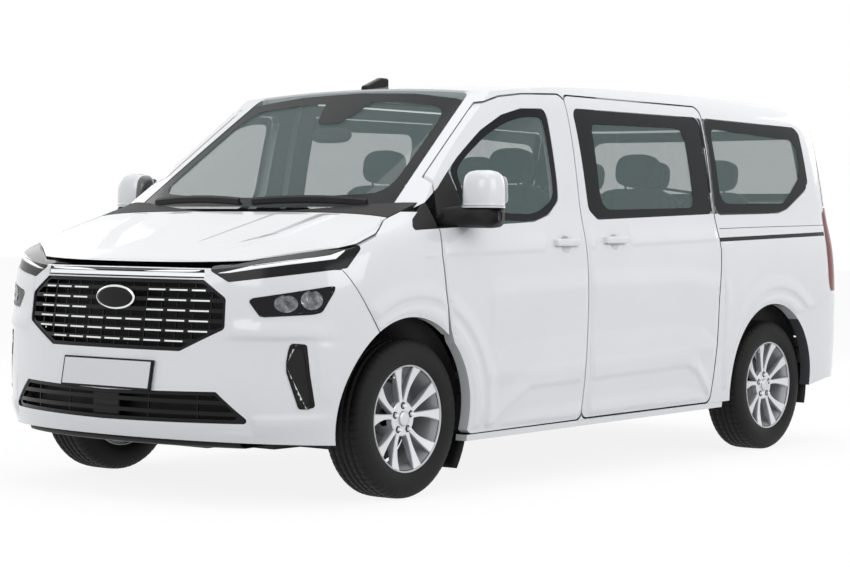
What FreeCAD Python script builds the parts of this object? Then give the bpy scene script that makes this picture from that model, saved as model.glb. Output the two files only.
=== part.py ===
import FreeCAD, Part
import math
import os

import Sketcher

from FreeCAD import Placement, Rotation, Vector

os.makedirs("parts", exist_ok=True)
doc = FreeCAD.newDocument("Minibus")

# Driving sizes in millimetres
SIZES = {
    "body_length": 4920,
    "body_height": 1900,
    "half_width": 1016,
    "wheelbase": 3100,
    "front_overhang": 880,
    "shut_gap": 8,
    "fit_gap": 0.3,
    "seat_gap": 5,
    "wall": 60,
    "door_wall": 50,
    "roof_wall": 36,
    "front_wall": 40,
    "bonnet_wall": 26,
    "glass_step": 3,
    "glass_wall": 6,
    "pillar_step": 57,
    "pillar_wall": 40,
    "mount_width": 60,
    "corner_radius": 45,
    "screen_run": 810,
    "screen_rise": 550,
    "screen_bow": 260,
    "header_bow": 110,
    "frame_width": 16,
    "grille_step": 7,
    "rail_depth": 26,
    "arch_radius": 428,
    "arch_lift": 12,
    "arch_shift": 46,
    "liner_wall": 4,
    "liner_step": 6,
    "door_reach": 22,
    "track": 1736,
    "tyre_diameter": 690,
    "tyre_width": 215,
    "tyre_shoulder": 28,
    "tyre_bulge": 8,
    "rim_diameter": 440,
    "rim_width": 190,
    "rim_wall": 9,
    "rim_lip": 13,
    "spoke_depth": 34,
    "hub_diameter": 150,
    "centre_cap_diameter": 66,
    "disc_diameter": 308,
    "disc_wall": 26,
    "disc_step": 66,
    "caliper_length": 190,
    "caliper_width": 74,
    "caliper_reach": 62,
    "stub_diameter": 76,
    "hub_face": 66,
    "stub_length": 80,
    "knuckle_length": 80,
    "knuckle_wall": 32,
    "knuckle_height": 250,
    "strut_step": 44,
    "strut_length": 268,
    "arm_wall": 32,
    "arm_width": 70,
    "subframe_length": 420,
    "subframe_width": 760,
    "rear_arm_length": 420,
    "engine_step": 330,
    "liner_inner": 545,
    "liner_low": 400,
    "silencer_length": 520,
    "silencer_width": 300,
    "silencer_height": 150,
    "cup_radius": 70,
    "mirror_round": 45,
    "mirror_arm": 46,
    "cushion_round": 40,
    "floor_height": 530,
    "floor_wall": 30,
    "seat_width": 480,
    "seat_depth": 520,
    "seat_height": 270,
    "backrest_height": 540,
    "headrest_width": 250,
    "headrest_height": 170,
    "headrest_wall": 90,
    "headrest_lift": 40,
    "post_diameter": 12,
    "steering_wheel_diameter": 370,
    "steering_rim_diameter": 30,
    "column_length": 330,
    "column_rake": 28,
    "engine_length": 560,
    "engine_width": 720,
    "engine_height": 560,
    "mirror_length": 150,
    "mirror_width": 190,
    "mirror_height": 205,
    "handle_length": 190,
    "handle_height": 34,
    "handle_reach": 42,
    "plate_width": 520,
    "plate_height": 112,
    "plate_wall": 8,
    "plate_gap": 6,
    "plate_seat": 30,
    "plate_rake": 10,
    "exhaust_diameter": 60,
    "axle_diameter": 90,
    "spring_diameter": 110,
    "tank_length": 900,
    "tank_width": 460,
    "tank_height": 190,
    "wiper_wall": 14,
    "antenna_length": 170,
    "antenna_height": 52,
    "antenna_wall": 46,
}

sheet = doc.addObject("Spreadsheet::Sheet", "Sizes")
for row, (alias, value) in enumerate(SIZES.items(), start=1):
    sheet.set(f"A{row}", alias)
    sheet.set(f"B{row}", str(value))
    sheet.setAlias(f"B{row}", alias)
doc.recompute()


def size(alias):
    """A driving size, read back from the sheet."""
    return float(getattr(sheet, alias))


length = size("body_length")
height = size("body_height")
half_width = size("half_width")
wheelbase = size("wheelbase")
overhang = size("front_overhang")
front_axle = length / 2 - overhang
rear_axle = front_axle - wheelbase
rear_overhang = length - overhang - wheelbase
gap = size("shut_gap")
far = 2 * length
left = Vector(0, 1, 0)
up = Vector(0, 0, 1)

nodes = {}


def keep(name, shape):
    """Store a finished shape as a labelled object of the document."""
    feature = doc.addObject("Part::Feature", name)
    feature.Label = name
    feature.Shape = shape
    nodes[name] = feature
    return feature


def keep_object(name, feature):
    """Name an object that is already bound to the sheet as a finished sub-part."""
    feature.Label = name
    nodes[name] = feature
    return feature


def mirrored(shape):
    """The same shape on the other side of the vehicle."""
    return shape.mirror(Vector(), left)


def keep_pair(name, shape):
    """Store a left-hand shape and its right-hand twin."""
    keep(f"{name}_left", shape)
    keep(f"{name}_right", mirrored(shape))


def one_solid(shape):
    """The largest solid of a cut, without the slivers beside it."""
    return max(shape.Solids, key=lambda solid: solid.Volume)


# Outer form
# Each level of the wrap: height, half width, nose and tail as shares of the
# body height, the half width, the front overhang and the rear overhang, the
# place where the nose starts to round as a share of the wheelbase ahead of the
# front axle, and the powers of the nose and tail curves.
LEVEL_SHARES = [
    (0.040, 0.955, 0.900, 0.955, 0.097, 2.1, 3.0),
    (0.110, 0.972, 0.945, 0.985, 0.097, 2.1, 3.1),
    (0.165, 0.985, 1.006, 0.998, 0.097, 2.1, 3.2),
    (0.235, 0.996, 0.995, 1.002, 0.097, 2.2, 3.2),
    (0.320, 1.001, 0.955, 1.002, 0.097, 2.3, 3.2),
    (0.400, 1.003, 0.938, 1.000, 0.097, 2.3, 3.2),
    (0.480, 1.001, 0.908, 0.996, 0.097, 2.4, 3.2),
    (0.540, 0.993, 0.885, 0.992, 0.080, 2.4, 3.2),
    (0.585, 0.980, 0.865, 0.988, 0.040, 2.5, 3.2),
    (0.622, 0.962, 0.845, 0.982, -0.120, 2.8, 3.2),
    (0.665, 0.942, 0.800, 0.975, -0.300, 2.8, 3.2),
    (0.740, 0.922, 0.550, 0.955, -0.380, 2.4, 3.2),
    (0.820, 0.896, 0.300, 0.925, -0.400, 2.1, 3.2),
    (0.895, 0.864, 0.000, 0.895, -0.400, 2.0, 3.2),
    (0.940, 0.836, -0.250, 0.868, -0.400, 2.0, 3.1),
    (0.975, 0.790, -0.330, 0.845, -0.400, 2.0, 3.0),
    (1.005, 0.700, -0.380, 0.815, -0.400, 2.0, 2.9),
    (1.040, 0.560, -0.420, 0.780, -0.400, 2.0, 2.8),
]
NOSE_ANGLES = (6, 17, 29, 41, 53, 65, 77, 89)
SIDE_SHARES = (0.12, 0.30, 0.50, 0.70, 0.88)
TAIL_ANGLES = (89, 75, 60, 45, 30, 15, 4)
TAIL_START_SHARE = 0.53


def plan_half(level, inset):
    """Left half of one level's plan, from the nose to the tail."""
    z_share, y_share, nose_share, tail_share, start_share, nose_power, tail_power = level
    side = half_width * y_share - inset
    nose = front_axle + overhang * nose_share - inset
    tail = rear_axle - rear_overhang * tail_share + inset
    nose_start = front_axle + wheelbase * start_share
    tail_start = rear_axle - rear_overhang * TAIL_START_SHARE
    points = []
    for angle in NOSE_ANGLES:
        cosine = math.cos(math.radians(angle)) ** (2 / nose_power)
        sine = math.sin(math.radians(angle)) ** (2 / nose_power)
        points.append((nose_start + (nose - nose_start) * cosine, side * sine))
    for share in SIDE_SHARES:
        points.append((nose_start + (tail_start - nose_start) * share, side))
    for angle in TAIL_ANGLES:
        cosine = math.cos(math.radians(angle)) ** (2 / tail_power)
        sine = math.sin(math.radians(angle)) ** (2 / tail_power)
        points.append((tail_start + (tail - tail_start) * cosine, side * sine))
    return [Vector(x, y, height * z_share) for x, y in points]


def clamped(count):
    """Knots and multiplicities of a clamped cubic with this many poles."""
    knots = list(range(count - 2))
    return knots, [4] + [1] * (count - 4) + [4]


def wrap_solid(inset):
    """The body's side, nose and tail as one closed wall, filled."""
    rings = []
    for level in LEVEL_SHARES:
        half = plan_half(level, inset)
        other = [Vector(point.x, -point.y, point.z) for point in reversed(half)]
        rings.append(half + other)
    around = len(rings[0])
    poles = [[ring[index] for ring in rings] for index in range(around)]
    knots, multiplicities = clamped(len(rings))
    surface = Part.BSplineSurface()
    surface.buildFromPolesMultsKnots(
        poles, [1] * (around + 1), multiplicities, list(range(around + 1)), knots, True, False, 3, 3
    )
    wall = surface.toShape()
    rims = [edge for edge in wall.Edges if edge.BoundBox.ZLength < size("fit_gap")]
    caps = [Part.Face(Part.Wire(edge)) for edge in rims]
    return filled([wall] + caps)


def filled(faces):
    """One solid inside a closed set of faces."""
    shell = Part.Shell(faces)
    shell.sewShape()
    solid = Part.Solid(shell)
    if solid.Volume < 0:
        solid.reverse()
    return solid


# Centre lines of the roof and the bonnet: place as a share of the wheelbase
# behind the front axle, and height as a share of the body height.
ROOF_SHARES = [
    (-0.10, 0.830), (0.03, 0.895), (0.14, 0.934), (0.24, 0.957), (0.32, 0.978), (0.42, 0.991),
    (0.58, 0.999), (0.80, 1.003), (1.02, 1.003), (1.16, 0.998), (1.26, 0.987), (1.36, 0.970),
]
ROOF_CROWN_SHARE = 0.030
BONNET_SHARES = [
    (-0.36, 0.452), (-0.30, 0.480), (-0.255, 0.510), (-0.20, 0.545), (-0.12, 0.590),
    (-0.05, 0.631), (0.02, 0.668), (0.09, 0.704), (0.17, 0.745),
]
BONNET_CROWN_SHARES = (0.006, 0.024)
ACROSS_SHARES = (-1.12, -1.0, -0.94, -0.86, -0.72, -0.5, -0.25, 0.0, 0.25, 0.5, 0.72, 0.86, 0.94, 1.0, 1.12)


def roof_drop(share):
    return height * ROOF_CROWN_SHARE * share ** 2


def bonnet_drop(share):
    gentle, edge = BONNET_CROWN_SHARES
    return height * (gentle * share ** 2 + edge * share ** 8)


def below(line_shares, drop, inset):
    """Everything under a crowned top that follows a centre line."""
    poles = []
    for x_share, z_share in line_shares:
        x = front_axle - wheelbase * x_share
        crown = height * z_share - inset
        poles.append([Vector(x, half_width * share, crown - drop(abs(share))) for share in ACROSS_SHARES])
    along_knots, along_multiplicities = clamped(len(line_shares))
    across_knots, across_multiplicities = clamped(len(ACROSS_SHARES))
    surface = Part.BSplineSurface()
    surface.buildFromPolesMultsKnots(
        poles, along_multiplicities, across_multiplicities, along_knots, across_knots, False, False, 3, 3
    )
    return surface.toShape().extrude(-up * far)


def x_at(share):
    """Place along the vehicle from a share of the wheelbase behind the front axle."""
    return front_axle - wheelbase * share


COWL_SHARE = 0.658
SCREEN_BASE_SHARE = -0.010


def screen_arc(foot, bow):
    """A level arc across the windscreen, bowed forwards in the middle."""
    reach = 1.1 * half_width
    ends = [foot + Vector(-bow, side * reach, 0) for side in (-1, 1)]
    return Part.Arc(ends[0], foot, ends[1]).toShape()


def screen_solid(inset):
    """Everything behind the windscreen, a ruled face between two arcs."""
    run, rise = size("screen_run"), size("screen_rise")
    slope = Vector(-run, 0, rise)
    normal = Vector(rise, 0, run).normalize()
    foot = Vector(x_at(SCREEN_BASE_SHARE), 0, height * COWL_SHARE) - normal * inset
    bow, change = size("screen_bow"), size("header_bow") - size("screen_bow")
    low, high = -3, 1.5
    low_arc = screen_arc(foot + slope * low, bow + change * low)
    high_arc = screen_arc(foot + slope * high, bow + change * high)
    return Part.makeRuledSurface(low_arc, high_arc).extrude(Vector(-far, 0, 0))


def cabin(side_inset, top_inset):
    """The cabin's outer form, drawn in by the given walls."""
    form = wrap_solid(side_inset).common(below(ROOF_SHARES, roof_drop, top_inset))
    return form.common(screen_solid(top_inset))


def front(side_inset, top_inset):
    """The form of the nose, drawn in by the given walls."""
    start = front_axle - wheelbase * 0.17
    block = Part.makeBox(length, far, far, Vector(start, -far / 2, -far / 2))
    form = wrap_solid(side_inset).common(block)
    return form.common(below(BONNET_SHARES, bonnet_drop, top_inset))


# Outlines
def offset_polygon(points, grow):
    """Move every edge of a plane polygon outwards, corners mitred."""
    area = sum(a[0] * b[1] - b[0] * a[1] for a, b in zip(points, points[1:] + points[:1]))
    turn = 1 if area > 0 else -1
    lines = []
    for a, b in zip(points, points[1:] + points[:1]):
        span = math.hypot(b[0] - a[0], b[1] - a[1])
        normal = (turn * (b[1] - a[1]) / span, -turn * (b[0] - a[0]) / span)
        lines.append(((a[0] + normal[0] * grow, a[1] + normal[1] * grow), (b[0] - a[0], b[1] - a[1])))
    moved = []
    for (p, d), (q, e) in zip([lines[-1]] + lines[:-1], lines):
        cross = d[0] * e[1] - d[1] * e[0]
        along = ((q[0] - p[0]) * e[1] - (q[1] - p[1]) * e[0]) / cross
        moved.append((p[0] + d[0] * along, p[1] + d[1] * along))
    return moved


def rounded_wire(points, radius, place):
    """A closed wire through plane points with its corners rounded."""
    count = len(points)
    stops = []
    for index in range(count):
        here = Vector(*points[index], 0)
        before = Vector(*points[index - 1], 0) - here
        after = Vector(*points[(index + 1) % count], 0) - here
        turn = before.getAngle(after)
        reach = min(radius / math.tan(turn / 2), 0.42 * before.Length, 0.42 * after.Length)
        start = here + before * (reach / before.Length)
        end = here + after * (reach / after.Length)
        bow = reach * math.tan(turn / 2)
        middle = (before.normalize() + after.normalize()).normalize()
        bend = here + middle * (math.hypot(bow, reach) - bow)
        stops.append((start, bend, end, turn))
    edges = []
    for index, (start, bend, end, turn) in enumerate(stops):
        edges.append(Part.Arc(place(start), place(bend), place(end)).toShape())
        following = stops[(index + 1) % count][0]
        edges.append(Part.makeLine(place(end), place(following)))
    return Part.Wire(edges)


def side_points(shares):
    """Side view points from shares of the wheelbase and the body height."""
    return [(front_axle - wheelbase * x, height * z) for x, z in shares]


def side_prism(shares, grow=0, radius=None):
    """A prism across the left side, from just off the middle outwards."""
    points = offset_polygon(side_points(shares), grow)
    corner = size("corner_radius") if radius is None else radius
    wire = rounded_wire(points, corner, lambda p: Vector(p.x, half_width / 2, p.y))
    return Part.Face(wire).extrude(left * half_width)


def plan_prism(points, grow=0, radius=None):
    """A vertical prism over plan points, from under the wheels to over the roof."""
    moved = offset_polygon(points, grow)
    corner = size("corner_radius") if radius is None else radius
    wire = rounded_wire(moved, corner, lambda p: Vector(p.x, p.y, -height / 2))
    return Part.Face(wire).extrude(up * height * 2)


def facing_prism(shares, angle, grow=0, radius=None):
    """A level prism towards the nose, turned about the vertical by an angle.

    Its points are shares of the front overhang, the half width and the height.
    """
    turn = math.radians(angle)
    ahead = Vector(math.cos(turn), math.sin(turn), 0)
    across = Vector(-math.sin(turn), math.cos(turn), 0)
    middle = Vector(front_axle, 0, 0)
    points = []
    for x_share, y_share, z_share in shares:
        point = Vector(overhang * x_share, half_width * y_share, 0)
        points.append((point.dot(across), height * z_share))
    moved = offset_polygon(points, grow)
    corner = size("corner_radius") if radius is None else radius
    wire = rounded_wire(moved, corner, lambda p: middle + across * p.x + up * p.y)
    return Part.Face(wire).extrude(ahead * half_width * 1.5)


def skin(tool, outer, inner):
    """The wall between two forms inside a prism."""
    return tool.common(outer).cut(inner)


# Side view outlines as shares of the wheelbase behind the front axle and of
# the body height.
FRONT_DOOR_SHARES = [
    (0.120, 0.136), (0.114, 0.226), (0.072, 0.383), (0.062, 0.472), (0.057, 0.552), (0.060, 0.614),
    (0.088, 0.713), (0.104, 0.756), (0.138, 0.805), (0.192, 0.863), (0.242, 0.915), (0.278, 0.934),
    (0.325, 0.944), (0.421, 0.951), (0.418, 0.775), (0.416, 0.633), (0.415, 0.453), (0.412, 0.291),
    (0.406, 0.144),
]
SLIDING_DOOR_SHARES = [
    (0.406, 0.144), (0.412, 0.291), (0.415, 0.453), (0.416, 0.633), (0.418, 0.775), (0.421, 0.951),
    (0.820, 0.954), (0.811, 0.654), (0.814, 0.564), (0.801, 0.429), (0.797, 0.307), (0.784, 0.152),
]
FRONT_GLASS_SHARES = [
    (0.000, 0.607), (0.012, 0.632), (0.093, 0.707), (0.156, 0.782), (0.219, 0.850), (0.268, 0.890),
    (0.311, 0.909), (0.361, 0.912), (0.367, 0.892), (0.364, 0.724), (0.361, 0.684), (0.330, 0.648),
    (0.290, 0.631),
]
SLIDE_GLASS_SHARES = [
    (0.435, 0.919), (0.807, 0.924), (0.806, 0.661), (0.459, 0.639), (0.439, 0.664),
]
QUARTER_GLASS_SHARES = [
    (0.822, 0.924), (1.131, 0.920), (1.147, 0.905), (1.150, 0.761), (1.135, 0.734), (1.061, 0.679),
    (1.028, 0.667), (0.817, 0.658),
]
SIDE_SHARES_OF_BODY = [
    (-0.030, 0.649), (0.062, 0.649), (0.062, 0.1323), (0.826, 0.1508), (1.190, 0.160), (1.206, 0.440), (1.204, 0.700),
    (1.204, 1.060), (-0.030, 1.060),
]
FENDER_SHARES = [
    (-0.146, 0.522), (-0.080, 0.376), (0.000, 0.330), (0.067, 0.370), (0.062, 0.472), (0.057, 0.552),
    (0.057, 0.649), (-0.020, 0.649), (-0.060, 0.700), (-0.146, 0.600),
]
SAIL_SPLIT_SHARE = 0.128
PILLAR_SHARES = [(0.400, 0.150), (0.400, 0.960), (0.440, 0.960), (0.440, 0.150)]
REAR_PILLAR_SHARES = [(0.800, 0.300), (0.800, 0.960), (0.832, 0.960), (0.832, 0.300)]

# Plan outlines of the middle pieces as shares of the wheelbase behind the
# front axle and of the half width.
SCREEN_PLAN_SHARES = [(-0.05, 0.800), (0.030, 0.767), (0.263, 0.642)]
ROOF_PLAN_SHARES = [(0.263, 0.715), (0.42, 0.742), (1.00, 0.742), (1.224, 0.735)]
BONNET_PLAN_SHARES = [(-0.018, 0.862), (-0.030, 0.868), (-0.052, 0.905), (-0.109, 0.990), (-0.243, 0.466)]
DOOR_PLAN_SHARES = [(-0.050, 0.850), (0.030, 0.812), (0.263, 0.700), (0.330, 0.746), (1.300, 0.746)]
BONNET_NOSE_SHARE = -0.300
COWL_PLAN_SHARES = [(-0.018, 0.862), (0.055, 0.862)]
COWL_FOOT_SHARE = 0.649
BONNET_EDGE_SHARES = [(0.060, 0.640), (-0.020, 0.628), (-0.109, 0.577), (-0.243, 0.522), (-0.400, 0.510)]
TAILGATE_START_SHARE = 1.207

# Front outlines as shares of the front overhang, half width and body height
GRILLE_SHARES = [
    (0.9, 0.464, 0.494), (0.9, 0.574, 0.455), (0.9, 0.579, 0.388), (0.9, 0.379, 0.337),
    (0.9, -0.379, 0.337), (0.9, -0.579, 0.388), (0.9, -0.574, 0.455), (0.9, -0.464, 0.494),
]
BAR_SHARES = [(0.9, 0.460, 0.517), (0.9, 0.466, 0.497), (0.9, -0.466, 0.497), (0.9, -0.460, 0.517)]
LAMP_SHARES = [(0.855, 0.466, 0.521), (0.836, 0.583, 0.490), (0.503, 0.971, 0.523), (0.385, 0.976, 0.576)]
FOG_SHARES = [(0.810, 0.670, 0.455), (0.558, 0.953, 0.486), (0.620, 0.919, 0.431), (0.787, 0.729, 0.416)]
VENT_SHARES = [
    (0.700, 0.855, 0.360), (0.735, 0.822, 0.312), (0.665, 0.882, 0.219), (0.633, 0.905, 0.221),
    (0.655, 0.892, 0.293), (0.668, 0.884, 0.358),
]
LOWER_GRILLE_SHARES = [
    (0.9, 0.562, 0.252), (0.9, 0.706, 0.184), (0.9, 0.0, 0.180), (0.9, -0.706, 0.184),
    (0.9, -0.562, 0.252), (0.9, 0.0, 0.246),
]
BUMPER_SIDE_SHARES = [
    (-0.146, 0.519), (-0.076, 0.360), (-0.140, 0.137), (-0.400, 0.150), (-0.400, 0.519),
]
LAMP_ANGLE = 42
CORNER_ANGLE = 48


def both_sides(shares):
    """A closed plan outline from its left edge, listed from front to rear."""
    edge = [(x_at(x), half_width * y) for x, y in shares]
    return edge + [(x, -y) for x, y in reversed(edge)]


def arch(axle, grow=0):
    """The wheel arch on the left, open from the middle outwards."""
    centre = Vector(axle, 0, size("tyre_diameter") / 2 + size("arch_lift"))
    radius = size("arch_radius") + grow
    return Part.makeCylinder(radius, far, centre, left)


def arches(grow=0):
    shift = size("arch_shift")
    return [arch(front_axle + shift, grow), arch(rear_axle + shift, grow)]


def slab(low, high):
    """A level layer between two heights."""
    return Part.makeBox(far, far, high - low, Vector(-far / 2, -far / 2, low))


outer = one_solid(cabin(0, 0))
inner = one_solid(cabin(size("wall"), size("roof_wall")))
door_inner = one_solid(cabin(size("door_wall"), size("roof_wall")))
glass_outer = one_solid(cabin(size("glass_step"), size("glass_step")))
glass_reach = size("glass_step") + size("glass_wall")
glass_inner = one_solid(cabin(glass_reach, glass_reach))
side_glass_outer = wrap_solid(size("glass_step"))
side_glass_inner = wrap_solid(glass_reach)
middle = plan_prism(both_sides(DOOR_PLAN_SHARES), -size("fit_gap"), size("fit_gap"))
nose_outer = one_solid(front(0, 0))
nose_inner = one_solid(front(size("front_wall"), size("bonnet_wall")))


def roof_plan(grow):
    """An upright prism over the roof's middle panel."""
    return plan_prism(both_sides(ROOF_PLAN_SHARES), grow)


def build_roof():
    """The roof skin between the side rails, from the windscreen to the tailgate."""
    screen = plan_prism(both_sides(SCREEN_PLAN_SHARES), gap)
    tail = behind(TAILGATE_START_SHARE, far, height * GATE_SPLIT_SHARE, height * REAR_GLASS_SHARES[2], -gap)
    keep("roof", one_solid(skin(roof_plan(0), outer, inner).cut([screen, tail])))


def build_screen():
    pane = plan_prism(both_sides(SCREEN_PLAN_SHARES))
    pane = pane.common(slab(height * COWL_SHARE, far))
    keep("windscreen", one_solid(skin(pane, glass_outer, glass_inner)))


def build_sides():
    """Each body side in one piece: pillars, roof rail, sill and rear quarter."""
    body = side_prism(SIDE_SHARES_OF_BODY, 0, size("fit_gap")).common(outer).cut(inner)
    groove = side_prism(RAIL_SHARES, 0, size("fit_gap")).cut(cabin(size("rail_depth"), 0))
    cutters = [
        plan_prism(both_sides(SCREEN_PLAN_SHARES), size("fit_gap")),
        roof_plan(size("fit_gap")),
        side_prism(FRONT_DOOR_SHARES, gap).cut(middle),
        side_prism(SLIDING_DOOR_SHARES, gap / 2).cut(middle),
        side_prism(QUARTER_GLASS_SHARES),
        side_prism(FRONT_GLASS_SHARES).cut(middle),
        side_prism(TAIL_LAMP_SHARES, 0, size("fit_gap")),
        across_prism(REAR_BUMPER_SHARES),
        gate_tool(-gap / 2),
        groove,
        side_prism(ROLLER_SHARES, size("fit_gap"), size("fit_gap")).cut(cabin(size("rail_depth"), 0)),
    ] + arches()
    body = body.cut(cutters)
    for shares in (PILLAR_SHARES, REAR_PILLAR_SHARES):
        body = body.fuse(pillar(shares))
    keep_pair("body_side", one_solid(body.removeSplitter()))


def pillar(shares):
    """An inner pillar behind the shut line between two doors."""
    reach = size("pillar_step") + size("pillar_wall")
    strip = side_prism(shares, 0, size("fit_gap"))
    face = cabin(size("pillar_step"), size("roof_wall") - size("fit_gap"))
    back = cabin(reach, size("roof_wall") + size("pillar_wall"))
    return one_solid(strip.common(face).cut([back, roof_plan(size("fit_gap"))]))


def build_doors():
    """Front and sliding doors with their windows cut."""
    ahead = Part.makeBox(length, far, far, Vector(x_at(SAIL_SPLIT_SHARE), -far / 2, -far / 2))
    opening = side_prism(FRONT_GLASS_SHARES).cut(middle)
    pillar_side = plan_prism(both_sides(DOOR_PLAN_SHARES), gap - size("fit_gap"), size("fit_gap"))
    door = skin(side_prism(FRONT_DOOR_SHARES), outer, door_inner).cut([pillar_side, roof_plan(gap)])
    door = one_solid(door.cut([opening, side_prism(SLIDING_DOOR_SHARES, gap / 2)] + arches()))
    keep_pair("front_door", with_handle(door, HANDLE_PLACE_SHARES["front_door"]))
    pane = side_prism(FRONT_GLASS_SHARES, -size("fit_gap")).cut(ahead)
    keep_pair("front_door_glass", one_solid(skin(pane, side_glass_outer, side_glass_inner)))
    slide = skin(side_prism(SLIDING_DOOR_SHARES, -gap / 2), outer, door_inner).cut(middle)
    slide = one_solid(slide.cut([side_prism(SLIDE_GLASS_SHARES)] + arches()))
    roller = side_prism(ROLLER_SHARES, 0, size("fit_gap")).common(side_glass_outer)
    slide = slide.fuse(roller.cut(wrap_solid(size("rail_depth") - size("fit_gap"))))
    keep_pair("sliding_door", with_handle(slide, HANDLE_PLACE_SHARES["sliding_door"]))
    panes = []
    for shares in (SLIDE_GLASS_SHARES, QUARTER_GLASS_SHARES):
        pane = side_prism(shares, -size("fit_gap"))
        panes.append(one_solid(skin(pane, side_glass_outer, side_glass_inner)))
    keep_pair("side_glass", Part.makeCompound(panes))


def bonnet_tool(grow=0):
    """The part of the nose that lifts with the bonnet."""
    nose = [(BONNET_NOSE_SHARE, BONNET_PLAN_SHARES[-1][1])]
    plan = plan_prism(both_sides(BONNET_PLAN_SHARES + nose), grow, size("fit_gap"))
    points = side_points(BONNET_EDGE_SHARES)
    top = [(points[-1][0], far), (points[0][0], far)]
    lowered = offset_polygon(points + top, grow)
    corners = [Vector(x, -half_width * 2, z) for x, z in lowered]
    side = Part.Face(Part.makePolygon(corners + corners[:1])).extrude(left * half_width * 4)
    return plan.common(side)


def build_bonnet():
    keep("bonnet", one_solid(skin(bonnet_tool(), nose_outer, nose_inner)))


def build_front():
    """Wings, bumper and the pieces let into them."""
    lamp = facing_prism(LAMP_SHARES, LAMP_ANGLE, 0, size("wiper_wall"))
    cutters = [bonnet_tool(gap), lamp, side_prism(FRONT_DOOR_SHARES, gap), side_prism(FRONT_GLASS_SHARES)]
    cutters.append(plan_prism(both_sides(COWL_PLAN_SHARES), gap, size("fit_gap")))
    wing = side_prism(FENDER_SHARES, 0, size("fit_gap"))
    wing = skin(wing, nose_outer, nose_inner).cut(cutters + arches())
    keep_pair("front_wing", one_solid(wing))
    pane = facing_prism(LAMP_SHARES, LAMP_ANGLE, -size("fit_gap"), size("wiper_wall"))
    lens = skin(pane, one_solid(front(size("glass_step"), size("glass_step"))), nose_inner)
    keep_pair("headlamp", one_solid(lens.cut(bonnet_tool(gap))))


def across_prism(shares, grow=0, radius=None):
    """A prism right across the vehicle from a side view outline."""
    points = offset_polygon(side_points(shares), grow)
    corner = size("fit_gap") if radius is None else radius
    wire = rounded_wire(points, corner, lambda p: Vector(p.x, -2 * half_width, p.y))
    return Part.Face(wire).extrude(left * 4 * half_width)


def build_bumper():
    """The front bumper skin with its openings, over the lower grille."""
    region = across_prism(BUMPER_SIDE_SHARES)
    bumper = skin(region, nose_outer, nose_inner)
    lamp = facing_prism(LAMP_SHARES, LAMP_ANGLE, size("fit_gap"), size("wiper_wall"))
    fog = facing_prism(FOG_SHARES, LAMP_ANGLE, 0, size("wiper_wall"))
    vent = facing_prism(VENT_SHARES, CORNER_ANGLE, 0, size("wiper_wall"))
    cutters = [
        facing_prism(GRILLE_SHARES, 0, 0, size("corner_radius") / 2),
        facing_prism(BAR_SHARES, 0, 0, size("fit_gap")),
        facing_prism(LOWER_GRILLE_SHARES, 0, 0, size("wiper_wall")),
        bonnet_tool(gap),
    ]
    for tool in [lamp, fog, vent] + arches():
        cutters += [tool, mirrored(tool)]
    space = plate_block(0, overhang, size("plate_gap"))
    bumper = bumper.cut(cutters + [space]).fuse(plate_block(-size("plate_seat"), 0, 0))
    keep("front_bumper", one_solid(bumper))


PLATE_LOW_SHARE = 0.2525
PLATE_FACE_SHARE = 0.979


def plate_block(start, end, grow):
    """A raked block over the plate's outline, from its back face forwards."""
    wide, tall = size("plate_width") + 2 * grow, size("plate_height") + 2 * grow
    block = Part.makeBox(end - start, wide, tall, Vector(start, -wide / 2, -grow))
    foot = Vector(front_axle + overhang * PLATE_FACE_SHARE, 0, height * PLATE_LOW_SHARE)
    block.Placement = Placement(foot, Rotation(left, -size("plate_rake")))
    return block


GRILLE_ROWS = 6
GRILLE_RIBS = 13
LOWER_ROWS = 2
LOWER_RIBS = 5
ROW_SHARE = 0.009
RIB_SHARE = 0.006


def lattice(shares, rows, ribs, front_step, back_step, corner):
    """Bars across and ribs upright that follow the nose inside an opening."""
    fit = size("fit_gap")
    opening = facing_prism(shares, 0, -fit, corner)
    hole = facing_prism(shares, 0, -size("frame_width"), size("wiper_wall"))
    low = min(z for _, _, z in shares) * height
    high = max(z for _, _, z in shares) * height
    wide = max(y for _, y, _ in shares) * half_width
    front_face = one_solid(front(front_step, 0))
    middle_face = one_solid(front(back_step, 0))
    back_face = one_solid(front(back_step + size("glass_wall"), 0))
    frame = opening.cut(hole).common(front_face).cut(back_face)
    bars = []
    pitch = (high - low) / (rows + 1)
    bar_wall = height * ROW_SHARE
    for row in range(rows):
        level = low + pitch * (row + 1) - bar_wall / 2
        bars.append(slab(level, level + bar_wall))
    across = hole.common(Part.makeCompound(bars)).common(front_face).cut(back_face)
    uprights = []
    step = 2 * wide / (ribs + 1)
    rib_wall = half_width * RIB_SHARE
    for rib in range(ribs):
        y = -wide + step * (rib + 1) - rib_wall / 2
        uprights.append(Part.makeBox(far, rib_wall, far, Vector(0, y, -far / 2)))
    upright = hole.common(Part.makeCompound(uprights)).common(middle_face).cut(back_face)
    return frame.fuse([across, upright])


def build_grilles():
    steps = (size("grille_step"), size("front_wall") / 2)
    keep("grille", lattice(GRILLE_SHARES, GRILLE_ROWS, GRILLE_RIBS, *steps, size("corner_radius") / 2))
    keep("lower_grille", lattice(LOWER_GRILLE_SHARES, LOWER_ROWS, LOWER_RIBS, *steps, size("wiper_wall")))
    bar = facing_prism(BAR_SHARES, 0, -size("fit_gap"), size("fit_gap"))
    face = one_solid(front(size("glass_step"), size("glass_step")))
    lamp = facing_prism(LAMP_SHARES, LAMP_ANGLE, size("fit_gap"), size("wiper_wall"))
    bar = skin(bar, face, nose_inner).cut([bonnet_tool(gap), lamp, mirrored(lamp)])
    keep("light_bar", one_solid(bar))


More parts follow.
